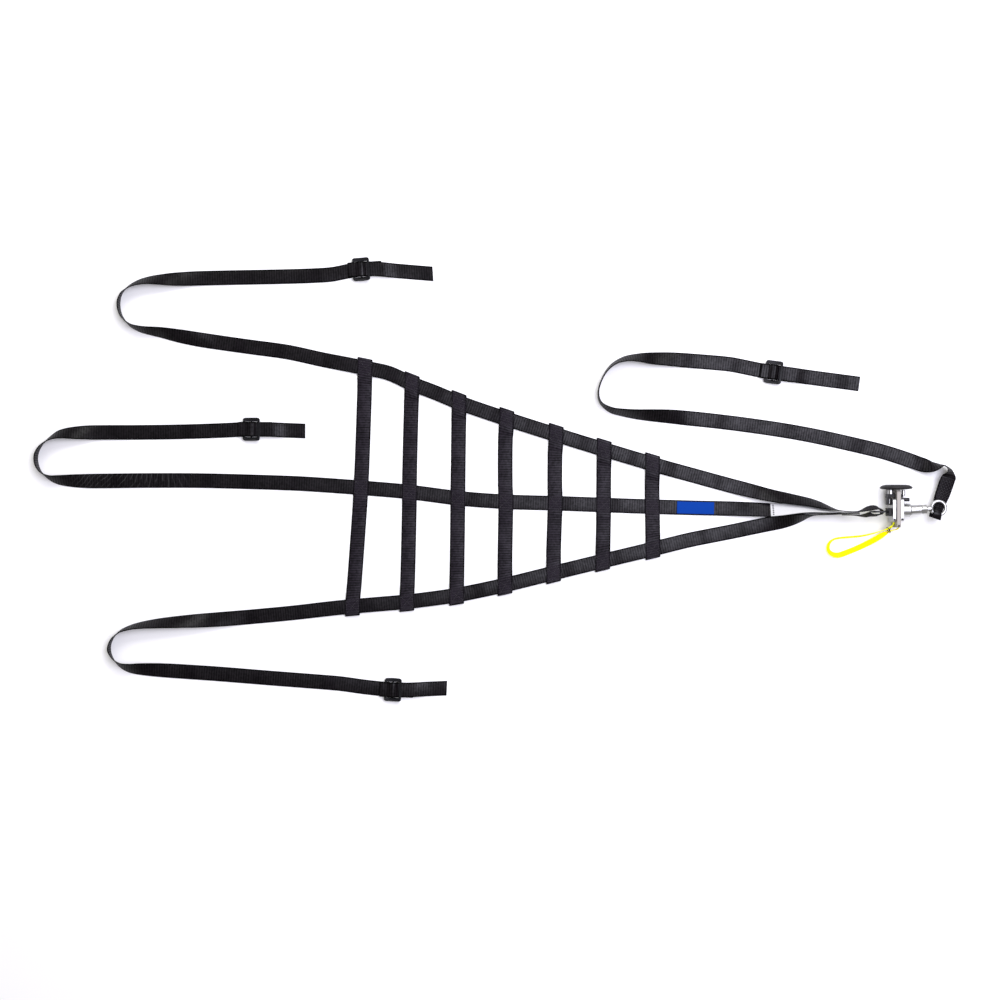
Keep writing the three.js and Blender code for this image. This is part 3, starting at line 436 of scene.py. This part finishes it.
def placed(name, data):
    """The object of a mesh, light or camera, linked to the scene"""
    made = bpy.data.objects.new(name, data)
    bpy.context.scene.collection.objects.link(made)
    return made


def packed_mesh(node):
    """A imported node's mesh, its loose triangles merged"""
    bm = bmesh.new()
    bm.from_mesh(NODES[node].data)
    bmesh.ops.remove_doubles(bm, verts=bm.verts, dist=0.001 * MM)
    bm.verts.index_update()
    return bm


def gather(bm, part):
    """Adds a finished part to a larger mesh, which is quicker than growing that mesh bead by bead"""
    mesh = bpy.data.meshes.new("part")
    part.to_mesh(mesh)
    part.free()
    bm.from_mesh(mesh)
    bpy.data.meshes.remove(mesh)


def finish_mesh(name, bm, smooth=True):
    """The object of a finished mesh"""
    mesh = bpy.data.meshes.new(name)
    for face in bm.faces:
        face.smooth = smooth
    bm.to_mesh(mesh)
    bm.free()
    return placed(name, mesh)


def dress(piece, material, body, nodes=()):
    """Gives a piece its material and body, and hides the nodes it stands for"""
    piece.data.materials.clear()
    piece.data.materials.append(material)
    if nodes:
        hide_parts(*nodes)
    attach(piece, body)


# Bands: straps, label, badge and tape


class Section:
    """One cross-section of a band: its centre, the vector to one edge, and its thickness"""

    def __init__(self, centre, across, thick):
        self.centre = centre
        self.across = across
        self.thick = thick

    def towards(self, other, part):
        return Section(
            self.centre.lerp(other.centre, part),
            self.across.lerp(other.across, part),
            self.thick + (other.thick - self.thick) * part)


def end_ring(bm):
    """The four corners of a band's end, found at a corner that only three edges meet"""
    for vert in bm.verts:
        if len(vert.link_edges) != 3:
            continue
        for face in vert.link_faces:
            far_edge = next(e for e in face.edges if vert not in e.verts)
            beyond = next(f for f in far_edge.link_faces if f is not face)
            ring = {*face.verts, *beyond.verts}
            if len(neighbours(ring) - ring) == 4:
                return ring
    raise RuntimeError("a band has no square end")


def neighbours(verts):
    """The vertices at the other ends of a set's edges"""
    return {edge.other_vert(vert) for vert in verts for edge in vert.link_edges}


def ring_section(ring):
    """The section through four corners: its short sides are the band's thickness"""
    # Sorted, because a set's order changes from run to run
    corner, *others = sorted(ring, key=lambda v: v.index)
    others.sort(key=lambda v: (v.co - corner.co).length)
    near, far = others[0], others[1:]
    a, b = (corner.co + near.co) / 2, (far[0].co + far[1].co) / 2
    return Section((a + b) / 2, (a - b) / 2, (near.co - corner.co).length)


def read_band(node):
    """The sections of a packed band, from one end to the other"""
    bm = packed_mesh(node)
    ring = end_ring(bm)
    seen, sections = set(), []
    while ring:
        section = ring_section(ring)
        if sections and section.across.dot(sections[-1].across) < 0:
            section.across.negate()
        sections.append(section)
        seen |= ring
        ring = neighbours(ring) - seen
    bm.free()
    return sections


def eased(sections):
    """Corners cut twice, so that facets turn into curves"""
    for _ in range(2):
        cut = [sections[0]]
        for a, b in zip(sections, sections[1:]):
            cut += [a.towards(b, 0.25), a.towards(b, 0.75)]
        sections = [*cut, sections[-1]]
    return sections


def spaced(sections, step):
    """Sections at even steps, each with its distance along and its face's normal"""
    places = [0.0]
    for a, b in zip(sections, sections[1:]):
        places.append(places[-1] + (b.centre - a.centre).length)
    count = max(round(places[-1] / step), 2)
    even, k = [], 0
    for i in range(count + 1):
        along = places[-1] * i / count
        while k < len(sections) - 2 and places[k + 1] < along:
            k += 1
        gap = max(places[k + 1] - places[k], 1e-9)
        section = sections[k].towards(sections[k + 1], min((along - places[k]) / gap, 1))
        section.along = along
        even.append(section)
    for i, section in enumerate(even):
        ahead = even[min(i + 1, count)].centre - even[max(i - 1, 0)].centre
        section.normal = ahead.normalized().cross(section.across).normalized()
    return even


def laid(node, step):
    """A packed band's sections at even steps, its facets eased into curves"""
    return spaced(eased(read_band(node)), step)


def settled(sections, reach):
    """Sections of a cross strap, its face eased down gently on both sides of what it passes over"""
    middle = sections[len(sections) // 2]
    face = [s for s in sections if s.normal.z * middle.normal.z > 0.5]
    heights = [s.centre.z for s in face]
    span = max(round(reach / (face[1].along - face[0].along)), 1)
    for i, section in enumerate(face):
        near = heights[max(i - span, 0):i + span + 1]
        section.centre.z = max(section.centre.z, sum(near) / len(near))
    return sections


# Half of a band's outline, from its left edge to the middle of its face: shares of the half
# width, of the half thickness and of a rib's height
FACE_PROFILE = ((1, 0, 0), (0.975, 0.75, 0), (0.9, 1, 0.5), (0, 1.03, 1))


def skin(name, sections, relief=0.0, pitch=1.0, sewn=None):
    """A closed band with rounded edges and two ribs to the pitch, lower where it is sewn"""
    flattening = 0.8
    top = [*FACE_PROFILE, *((-u, v, rib) for u, v, rib in FACE_PROFILE[-2::-1])]
    outline = [*top, *((u, -v, -rib) for u, v, rib in top[-2:0:-1])]
    verts, faces, places = [], [], []
    for s in sections:
        held = sewn(s) if sewn else 0.0
        ripple = abs(math.cos(2 * math.pi * s.along / pitch))
        height = relief / 2 * ripple * (1 - flattening * held)
        half = s.across.length
        for u, v, rib in outline:
            verts.append(s.centre + s.across * u + s.normal * (v * s.thick / 2 + rib * height))
            places.append((half - u * half, s.along, held))
    n = len(outline)
    for i in range(len(sections) - 1):
        for k in range(n):
            m = (k + 1) % n
            faces.append((i * n + k, i * n + m, (i + 1) * n + m, (i + 1) * n + k))
    last = (len(sections) - 1) * n
    faces.append(tuple(range(n - 1, -1, -1)))
    faces.append(tuple(range(last, last + n)))
    mesh = bpy.data.meshes.new(name)
    mesh.from_pydata(verts, [], faces)
    weave = mesh.uv_layers.new(name="weave")
    for loop in mesh.loops:
        weave.data[loop.index].uv = places[loop.vertex_index][:2]
    seam = mesh.attributes.new(SEWN, "FLOAT", "POINT")
    for vert, (_, _, held) in zip(seam.data, places):
        vert.value = held
    mesh.polygons.foreach_set("use_smooth", [True] * len(mesh.polygons))
    turn_outward(mesh)
    return placed(name, mesh)


def turn_outward(mesh):
    """Turns a closed mesh's faces outwards"""
    bm = bmesh.new()
    bm.from_mesh(mesh)
    bmesh.ops.recalc_face_normals(bm, faces=bm.faces)
    bm.to_mesh(mesh)
    bm.free()


def plan_crossing(first, second):
    """The first band's section where it crosses the second in plan, or None"""
    parallel = 1e-12
    for a, b in zip(first, first[1:]):
        for c, d in zip(second, second[1:]):
            p, r = a.centre.xy, b.centre.xy - a.centre.xy
            q, s = c.centre.xy, d.centre.xy - c.centre.xy
            turn = r.cross(s)
            if abs(turn) < parallel:
                continue
            t, u = (q - p).cross(s) / turn, (q - p).cross(r) / turn
            if 0 <= t <= 1 and 0 <= u <= 1:
                return a.towards(b, t)
    return None


def crossings():
    """Every sewn crossing: the cross strap's name and its section there"""
    folded_under, reach = 1.5 * MM, 200 * MM
    straps = [read_band(name) for name in LONG_STRAPS[:3]]
    found = []
    for name in CROSS_STRAPS:
        band = read_band(name)
        face = [s for s in band if s.centre.z > folded_under]
        for strap in straps:
            run = [s for s in strap if abs(s.centre.x - band[0].centre.x) < reach]
            place = plan_crossing(face, run) or plan_crossing(band, run)
            if place:
                found.append((name, place))
    return found


# Seams: each gives a test of a section, which is 1 where the band is sewn down


def crossing_seam(spots):
    """Where a cross strap is sewn to the long straps, from the middles of its crossings in plan"""
    reach = WEBBING_WIDTH / 2
    return lambda section: float(any((section.centre.xy - spot).length < reach for spot in spots))


def apex_seam():
    """Where the three net straps are sewn on top of each other, rising from the label's end"""
    start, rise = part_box("care_label")[1].x, 40 * MM
    return lambda section: min(max((section.centre.x - start) / rise, 0.0), 1.0)


def eye_seam():
    """Where the hold-down strap is sewn to itself beside the eye"""
    low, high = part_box("eye_bolt")
    ring_radius, near, far = 14.5 * MM, 13 * MM, 53 * MM
    eye = Vector((high.x - ring_radius, (low.y + high.y) / 2))
    return lambda section: float(near < (section.centre.xy - eye).length < far)


# Stitches


def stitch_line(bm, start, end, up, sizes):
    """One row of stitches from start to end, bedded in the face that up points out of"""
    spacing, bulge = sizes.stitch * 1.22, sizes.thread * 0.38
    run = end - start
    count = max(round(run.length / spacing), 1)
    onward = run.normalized()
    turn = Matrix((onward, up.cross(onward).normalized(), up)).transposed().to_4x4()
    size = Matrix.Diagonal((sizes.stitch / 2, sizes.thread / 2, bulge, 1))
    for i in range(count):
        place = Matrix.Translation(start + run * ((i + 0.5) / count))
        bmesh.ops.create_uvsphere(bm, u_segments=6, v_segments=4, radius=1, matrix=place @ turn @ size)


def sewn_box(bm, centre, along, across, up, sizes):
    """A stitched square with its two diagonals"""
    half = sizes.sewn_box / 2
    sides = (1, 1), (1, -1), (-1, -1), (-1, 1)
    corner = [centre + along * a * half + across * b * half for a, b in sides]
    for first, last in ((0, 1), (1, 2), (2, 3), (3, 0), (0, 2), (1, 3)):
        stitch_line(bm, corner[first], corner[last], up, sizes)


def thread_height(section):
    """How far above a section's middle the thread on its face lies"""
    return section.thick / 2 + 0.1 * MM


def box_stitches(sizes):
    """A stitched box on every crossing"""
    bm = bmesh.new()
    for _, over in crossings():
        across = over.across.normalized()
        box = bmesh.new()
        sewn_box(box, over.centre + UP * thread_height(over), UP.cross(across), across, UP, sizes)
        gather(bm, box)
    return bm


def eye_stitches(sizes):
    """Four zigzag rows on the hold-down strap's flap, which is the upper of its two layers there"""
    spacing, flap_height, level = 3.2 * MM, 21.8 * MM, 0.9
    rows, lean = (-0.66, -0.22, 0.22, 0.66), 0.22
    sewn = eye_seam()
    flap = [s for s in laid("hold_strap", spacing)
            if sewn(s) and s.centre.z > flap_height and abs(s.normal.z) > level]
    bm = bmesh.new()
    for i, (s, onward) in enumerate(zip(flap, flap[1:])):
        up = s.normal if s.normal.z > 0 else -s.normal
        lift = up * thread_height(s)
        sway = lean if i % 2 else -lean
        for row in rows:
            start = s.centre + s.across * (row - sway) + lift
            end = onward.centre + onward.across * (row + sway) + lift
            stitch_line(bm, start, end, up, sizes)
    return bm


def label_stitches(sizes):
    """A close seam across the label near its left end, five rows of thread side by side"""
    row_spacing, first_row, rows, reach = 0.5 * MM, 7, 5, 0.85
    label = laid("care_label", row_spacing)
    label = label if label[0].centre.x < label[-1].centre.x else label[::-1]
    bm = bmesh.new()
    for s in label[first_row:first_row + rows]:
        top = s.centre + UP * thread_height(s)
        stitch_line(bm, top - s.across * reach, top + s.across * reach, UP, sizes)
    return bm


# Operators


class NET_OT_long_straps(bpy.types.Operator):
    """Ribbed webbing for the three net straps and the hold-down strap"""

    bl_idname = "net.long_straps"
    bl_label = "Long straps"

    def execute(self, context):
        sizes, colours = context.scene.net_sizes, context.scene.net_colours
        plain = webbing_finish("webbing", colours.webbing, sizes)
        scuffed = webbing_finish("webbing_scuffed", colours.webbing, sizes, scuffs=chalk_scuffs)
        for name in LONG_STRAPS:
            sections = laid(name, sizes.rib_pitch / RIB_STEPS)
            sewn = eye_seam() if name == "hold_strap" else apex_seam()
            piece = skin(f"{name}_webbing", sections, sizes.rib_height, sizes.rib_pitch, sewn)
            dress(piece, scuffed if name == "middle_strap" else plain, NET_BODY, [name])
        return {"FINISHED"}


class NET_OT_cross_straps(bpy.types.Operator):
    """Ribbed webbing for the seven cross straps, flattened where they are sewn"""

    bl_idname = "net.cross_straps"
    bl_label = "Cross straps"

    def execute(self, context):
        sizes, colours = context.scene.net_sizes, context.scene.net_colours
        # Its lower gloss is the webbing's own; its lighter colour is painted light
        finish = webbing_finish("cross_webbing_lit", colours.cross_webbing_lit, sizes, gloss=0.42)
        step, ease = sizes.rib_pitch / RIB_STEPS, 16 * MM
        spots = {name: [] for name in CROSS_STRAPS}
        for name, over in crossings():
            spots[name].append(over.centre.xy)
        for name in CROSS_STRAPS:
            sections = spaced(settled(laid(name, step), ease), step)
            sewn = crossing_seam(spots[name])
            piece = skin(f"{name}_webbing", sections, sizes.rib_height, sizes.rib_pitch, sewn)
            dress(piece, finish, NET_BODY, [name])
        return {"FINISHED"}


class NET_OT_stitching(bpy.types.Operator):
    """Box stitching at every crossing, and the seams beside the eye and on the label"""

    bl_idname = "net.stitching"
    bl_label = "Stitching"

    def execute(self, context):
        sizes, colours = context.scene.net_sizes, context.scene.net_colours
        thread = thread_finish(colours.thread)
        for name, seam in (
            ("box_stitches", box_stitches),
            ("eye_stitches", eye_stitches),
            ("label_stitches", label_stitches),
        ):
            dress(finish_mesh(name, seam(sizes)), thread, NET_BODY)
        return {"FINISHED"}


class NET_OT_badge_and_label(bpy.types.Operator):
    """The bare blue badge and the bare white care label on the middle strap"""

    bl_idname = "net.badge_and_label"
    bl_label = "Badge and label"

    def execute(self, context):
        colours, step = context.scene.net_colours, 1.5 * MM
        # Each with its record slot, its colour and its turned edge in millimetres
        for name, slot, colour, edge in (
            ("badge_patch", "badge", colours.badge, 1.0),
            ("care_label", "label", colours.label, 1.2),
        ):
            sections = laid(name, step)
            width, length = 2 * sections[0].across.length, sections[-1].along
            finish = woven_finish(f"{slot}_weave", colour, width, length, edge)
            piece = skin(f"{name}_cloth", sections)
            dress(piece, finish, NET_BODY, [name])
        return {"FINISHED"}


class NET_OT_pull_tape(bpy.types.Operator):
    """The fluorescent pull tape"""

    bl_idname = "net.pull_tape"
    bl_label = "Pull tape"

    def execute(self, context):
        step, relief, pitch = 1.2 * MM, 0.08 * MM, 4.8 * MM
        # The tape is 9.5 millimetres wide. The tape is half a millimetre narrower than the
        # narrowest sheet that can be declared
        sections = laid("pull_tape", step)
        piece = skin("pull_tape_loop", sections, relief, pitch)
        finish = tape_finish(context.scene.net_colours.tape)
        dress(piece, finish, BUTTON_BODY, ["pull_tape"])
        return {"FINISHED"}


# Degrees up to which two faces are shaded as one, and pieces whose curved faces meet at more
SMOOTH_ANGLE = 20
SMOOTH_ANGLES = {"push_cap": 50, "eye_bolt": 40}


def softened(node, name, width, steps):
    """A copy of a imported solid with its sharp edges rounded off, width from each edge"""
    level, shallow = math.radians(0.5), math.radians(35)
    smooth = math.radians(SMOOTH_ANGLES.get(node, SMOOTH_ANGLE))
    bm = packed_mesh(node)
    bmesh.ops.dissolve_limit(
        bm, angle_limit=level, use_dissolve_boundaries=False, verts=bm.verts, edges=bm.edges)
    edges = [e for e in bm.edges if e.calc_face_angle() > max(smooth, shallow)]
    bmesh.ops.bevel(
        bm, geom=edges, offset=width, offset_type="OFFSET", segments=steps, profile=0.5,
        affect="EDGES", clamp_overlap=True, material=-1)
    piece = finish_mesh(name, bm)
    piece.data.set_sharp_from_angle(angle=smooth)
    return piece


class NET_OT_slides(bpy.types.Operator):
    """The four painted slides with rounded edges"""

    bl_idname = "net.slides"
    bl_label = "Slides"

    def execute(self, context):
        sizes, rounding = context.scene.net_sizes, 0.5 * MM
        paint = paint_finish(context.scene.net_colours.paint)
        for name in SLIDES:
            piece = softened(name, f"{name}_pressing", rounding, sizes.edge_steps)
            dress(piece, paint, NET_BODY, [name])
        return {"FINISHED"}


# Release pieces: node, record slot, body, finish and edge rounding in millimetres
RELEASE = (
    ("push_cap", "black_nylon", BUTTON_BODY, "nylon", 0.5),
    ("cap_neck", "steel", BUTTON_BODY, "steel", 0.4),
    ("return_rod", "steel", BUTTON_BODY, "steel", 0.4),
    ("latch_plate", "latch_steel", BUTTON_BODY, "plate", 0.5),
    ("pull_pin", "dark_steel", BUTTON_BODY, "dark", 0.3),
    ("guide_block", "black_nylon", NET_BODY, "shaded_nylon", 0.5),
    ("guide_plate_left", "steel", NET_BODY, "steel", 0.5),
    ("guide_plate_right", "steel", NET_BODY, "steel", 0.5),
    ("guide_bracket", "black_nylon", NET_BODY, "shaded_nylon", 0.4),
    ("side_screw", "dark_steel", NET_BODY, "dark", 0.5),
    ("jaw", "black_nylon", NET_BODY, "shaded_nylon", 0.5),
    ("tongue_plate", "dark_steel", NET_BODY, "dark", 0.4),
    ("eye_boss", "steel", NET_BODY, "steel", 0.6),
    ("eye_barrel", "steel", NET_BODY, "steel", 0.5),
    ("eye_nut", "steel", NET_BODY, "steel", 0.5),
    ("eye_bolt", "steel", NET_BODY, "steel", 0.3),
)


class NET_OT_release(bpy.types.Operator):
    """The push release, its plates and the eye"""

    bl_idname = "net.release"
    bl_label = "Release"

    def execute(self, context):
        sizes, colours = context.scene.net_sizes, context.scene.net_colours
        steel, plate, dark = colours.steel, colours.plate, colours.dark_steel
        finishes = {
            "nylon": nylon_finish("black_nylon", colours.nylon),
            # A darker copy of the cap's nylon for the guide block, bracket and jaw: painted shade
            "shaded_nylon": nylon_finish("shaded_nylon", tinted(colours.nylon, 0.5)),
            "steel": steel_finish("bright_steel", steel, 0.24, (900, 60, 60), stain=0.25),
            "plate": steel_finish("latch_steel", plate, 0.5, (500, 500, 500), stain=0.7, metallic=0.1),
            "dark": steel_finish("dark_steel", dark, 0.32, (500, 120, 120), stain=0.4),
        }
        for node, slot, body, finish, edge in RELEASE:
            piece = softened(node, f"{node}_finished", edge * MM, sizes.edge_steps)
            dress(piece, finishes[finish], body, [node])
        return {"FINISHED"}


def turned_pin(bm, start, end, radius, sides=16):
    """A closed cylinder from start to end"""
    run = end - start
    turn = run.to_track_quat("Z", "Y").to_matrix().to_4x4()
    place = Matrix.Translation((start + end) / 2) @ turn
    return bmesh.ops.create_cone(
        bm, cap_ends=True, segments=sides, radius1=radius, radius2=radius, depth=run.length, matrix=place)


def socket_screw(bm, top, radius):
    """A screw head with a sunk socket, its face up at top"""
    head, rim, depth = 0.9 * MM, radius * 0.45, 0.5 * MM
    made = turned_pin(bm, top - UP * head, top, radius, sides=24)["verts"]
    face = max((f for v in made for f in v.link_faces), key=lambda f: f.calc_center_median().z)
    bmesh.ops.inset_individual(bm, faces=[face], thickness=rim)
    sunk = bmesh.ops.extrude_discrete_faces(bm, faces=[face])["faces"][0]
    bmesh.ops.translate(bm, verts=sunk.verts, vec=UP * -depth)


def thread_loop(bm, place, width, height, thread):
    """A closed oval of round thread, upright and along the X of its place"""
    old = set(bm.verts)
    start = Matrix.Translation((0, 0, height / 2)) @ Matrix.Rotation(math.pi / 2, 4, "Y")
    ring = bmesh.ops.create_circle(bm, segments=8, radius=thread / 2, matrix=start)["verts"]
    edges = list(dict.fromkeys(e for v in ring for e in v.link_edges))
    bmesh.ops.spin(
        bm, geom=[*ring, *edges], cent=(0, 0, 0), axis=(0, 1, 0), angle=2 * math.pi, steps=28,
        use_merge=True)
    made = [v for v in bm.verts if v not in old]
    oval = Matrix.Diagonal((width / height, 1, 1, 1))
    bmesh.ops.transform(bm, matrix=place @ oval, verts=made)


def plate_screws():
    """A screw in each of the two guide plates, near its end away from the cap"""
    from_end, stands_out, radius = 3.4 * MM, 0.5 * MM, 1.6 * MM
    bm = bmesh.new()
    for plate in ("guide_plate_left", "guide_plate_right"):
        low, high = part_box(plate)
        socket_screw(bm, Vector(((low.x + high.x) / 2, low.y + from_end, high.z + stands_out)), radius)
    return bm


def block_pin():
    """The pin that lies in the guide block's leg"""
    from_side, depth, near, far, radius = 3 * MM, 2 * MM, 1.5 * MM, 10 * MM, 0.6 * MM
    low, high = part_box("guide_block")
    x, z = low.x + from_side, high.z - depth
    bm = bmesh.new()
    turned_pin(bm, Vector((x, low.y + near, z)), Vector((x, low.y + far, z)), radius)
    return bm


def knot_stitches():
    """Two crossed loops of thread round both runs of the pull tape, beside the latch plate"""
    from_plate, lean = 8 * MM, 28
    overhang, height, thread = 4.4 * MM, 13 * MM, 1.5 * MM
    sections = read_band("pull_tape")
    half = len(sections) // 2
    knot_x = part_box("latch_plate")[0].x - from_plate
    runs = sections[:half], sections[half:]
    first, last = (min(run, key=lambda s: abs(s.centre.x - knot_x)).centre for run in runs)
    apart = last - first
    bm = bmesh.new()
    for angle in (-lean, lean):
        turn = Matrix.Rotation(math.atan2(apart.y, apart.x) + math.radians(angle), 4, "Z")
        place = Matrix.Translation((first + last) / 2) @ turn
        thread_loop(bm, place, apart.xy.length + overhang, height, thread)
    return bm


class NET_OT_fasteners(bpy.types.Operator):
    """Screws of the guide plates, the pin in the guide block's leg and the stitches of the tape's knot"""

    bl_idname = "net.fasteners"
    bl_label = "Fasteners"

    def execute(self, context):
        colours, sharp = context.scene.net_colours, math.radians(30)
        dark = steel_finish(
            "screw_steel", tinted(colours.dark_steel, 0.4), 0.5, (400, 400, 400), stain=0.3,
            metallic=0.0, shine=0.08)
        bright = steel_finish("pin_steel", colours.steel, 0.3, (400, 60, 400), stain=0.2)
        screws = finish_mesh("plate_screws", plate_screws())
        screws.data.set_sharp_from_angle(angle=sharp)
        dress(screws, dark, NET_BODY)
        pin = finish_mesh("block_pin", block_pin())
        pin.data.set_sharp_from_angle(angle=sharp)
        dress(pin, bright, NET_BODY)
        knot = finish_mesh("knot_stitches", knot_stitches())
        dress(knot, thread_finish(colours.thread), BUTTON_BODY)
        return {"FINISHED"}


# Studio, in metres: the camera looks straight down, and a light's size is along its two sides
CAMERA_PLACE = (0.00825, -0.0356, 2.7)
CAMERA_LENS = 57.2
CAMERA_CLIP = (0.05, 50)
LIGHTS = (
    {"name": "softbox", "place": (1.0, 0.4, 2.9), "target": (0.8, 0.1, 0), "size": (1.5, 2.4),
     "power": 106, "colour": (0.865, 0.86, 1)},
    {"name": "fill", "place": (-0.2, 2.2, 2.1), "target": (-0.2, 0, 0), "size": (3.6, 1.2),
     "power": 66, "colour": (1, 1, 1)},
)
SKY_COLOUR = (1, 0.965, 0.91)
SKY_STRENGTH = 0.37
FLOOR_REACH = 6
FLOOR_DROP = 0.2 * MM


def area_light(name, place, target, size, power, colour):
    """A rectangular light at its place, pointed at its target"""
    data = bpy.data.lights.new(name, "AREA")
    data.shape = "RECTANGLE"
    data.size, data.size_y = size
    data.energy = power
    data.color = colour
    light = placed(name, data)
    light.location = place
    light.rotation_euler = (Vector(target) - Vector(place)).to_track_quat("-Z", "Y").to_euler()


class NET_OT_studio(bpy.types.Operator):
    """Pale floor, soft light and the camera straight above"""

    bl_idname = "net.studio"
    bl_label = "Studio"

    def execute(self, context):
        scene = context.scene
        bm = bmesh.new()
        bmesh.ops.create_grid(bm, x_segments=2, y_segments=2, size=FLOOR_REACH)
        bmesh.ops.translate(bm, verts=bm.verts, vec=UP * -FLOOR_DROP)
        floor = finish_mesh("floor", bm, smooth=False)
        floor.data.materials.append(floor_finish(scene.net_colours.floor))
        for light in LIGHTS:
            area_light(**light)
        scene.world = bpy.data.worlds.new("studio")
        scene.world.use_nodes = True
        sky = scene.world.node_tree.nodes["Background"].inputs
        sky["Color"].default_value = (*SKY_COLOUR, 1)
        sky["Strength"].default_value = SKY_STRENGTH
        scene.view_settings.view_transform = "Standard"
        data = bpy.data.cameras.new("camera")
        data.lens = CAMERA_LENS
        data.clip_start, data.clip_end = CAMERA_CLIP
        scene.camera = placed("camera", data)
        scene.camera.location = CAMERA_PLACE
        return {"FINISHED"}


class NET_PT_panel(bpy.types.Panel):
    """The net's steps, sizes and colours"""

    bl_idname = "NET_PT_panel"
    bl_label = "Racing safety net"
    bl_space_type = "VIEW_3D"
    bl_region_type = "UI"
    bl_category = "Net"

    def draw(self, context):
        for operator in OPERATORS:
            self.layout.operator(operator.bl_idname)
        for group in (context.scene.net_sizes, context.scene.net_colours):
            box = self.layout.box()
            for name in group.bl_rna.properties.keys():
                if name not in ("rna_type", "name"):
                    box.prop(group, name)


OPERATORS = (
    NET_OT_studio,
    NET_OT_long_straps,
    NET_OT_cross_straps,
    NET_OT_stitching,
    NET_OT_badge_and_label,
    NET_OT_pull_tape,
    NET_OT_slides,
    NET_OT_release,
    NET_OT_fasteners,
)
CLASSES = (NetSizes, NetColours, *OPERATORS, NET_PT_panel)


def register():
    for cls in CLASSES:
        bpy.utils.register_class(cls)
    bpy.types.Scene.net_sizes = PointerProperty(type=NetSizes)
    bpy.types.Scene.net_colours = PointerProperty(type=NetColours)


def unregister():
    del bpy.types.Scene.net_colours
    del bpy.types.Scene.net_sizes
    for cls in reversed(CLASSES):
        bpy.utils.unregister_class(cls)


def main():
    register()
    for operator in OPERATORS:
        name = operator.bl_idname.split(".")[1]
        getattr(bpy.ops.net, name)()


if __name__ == "__main__":
    main()
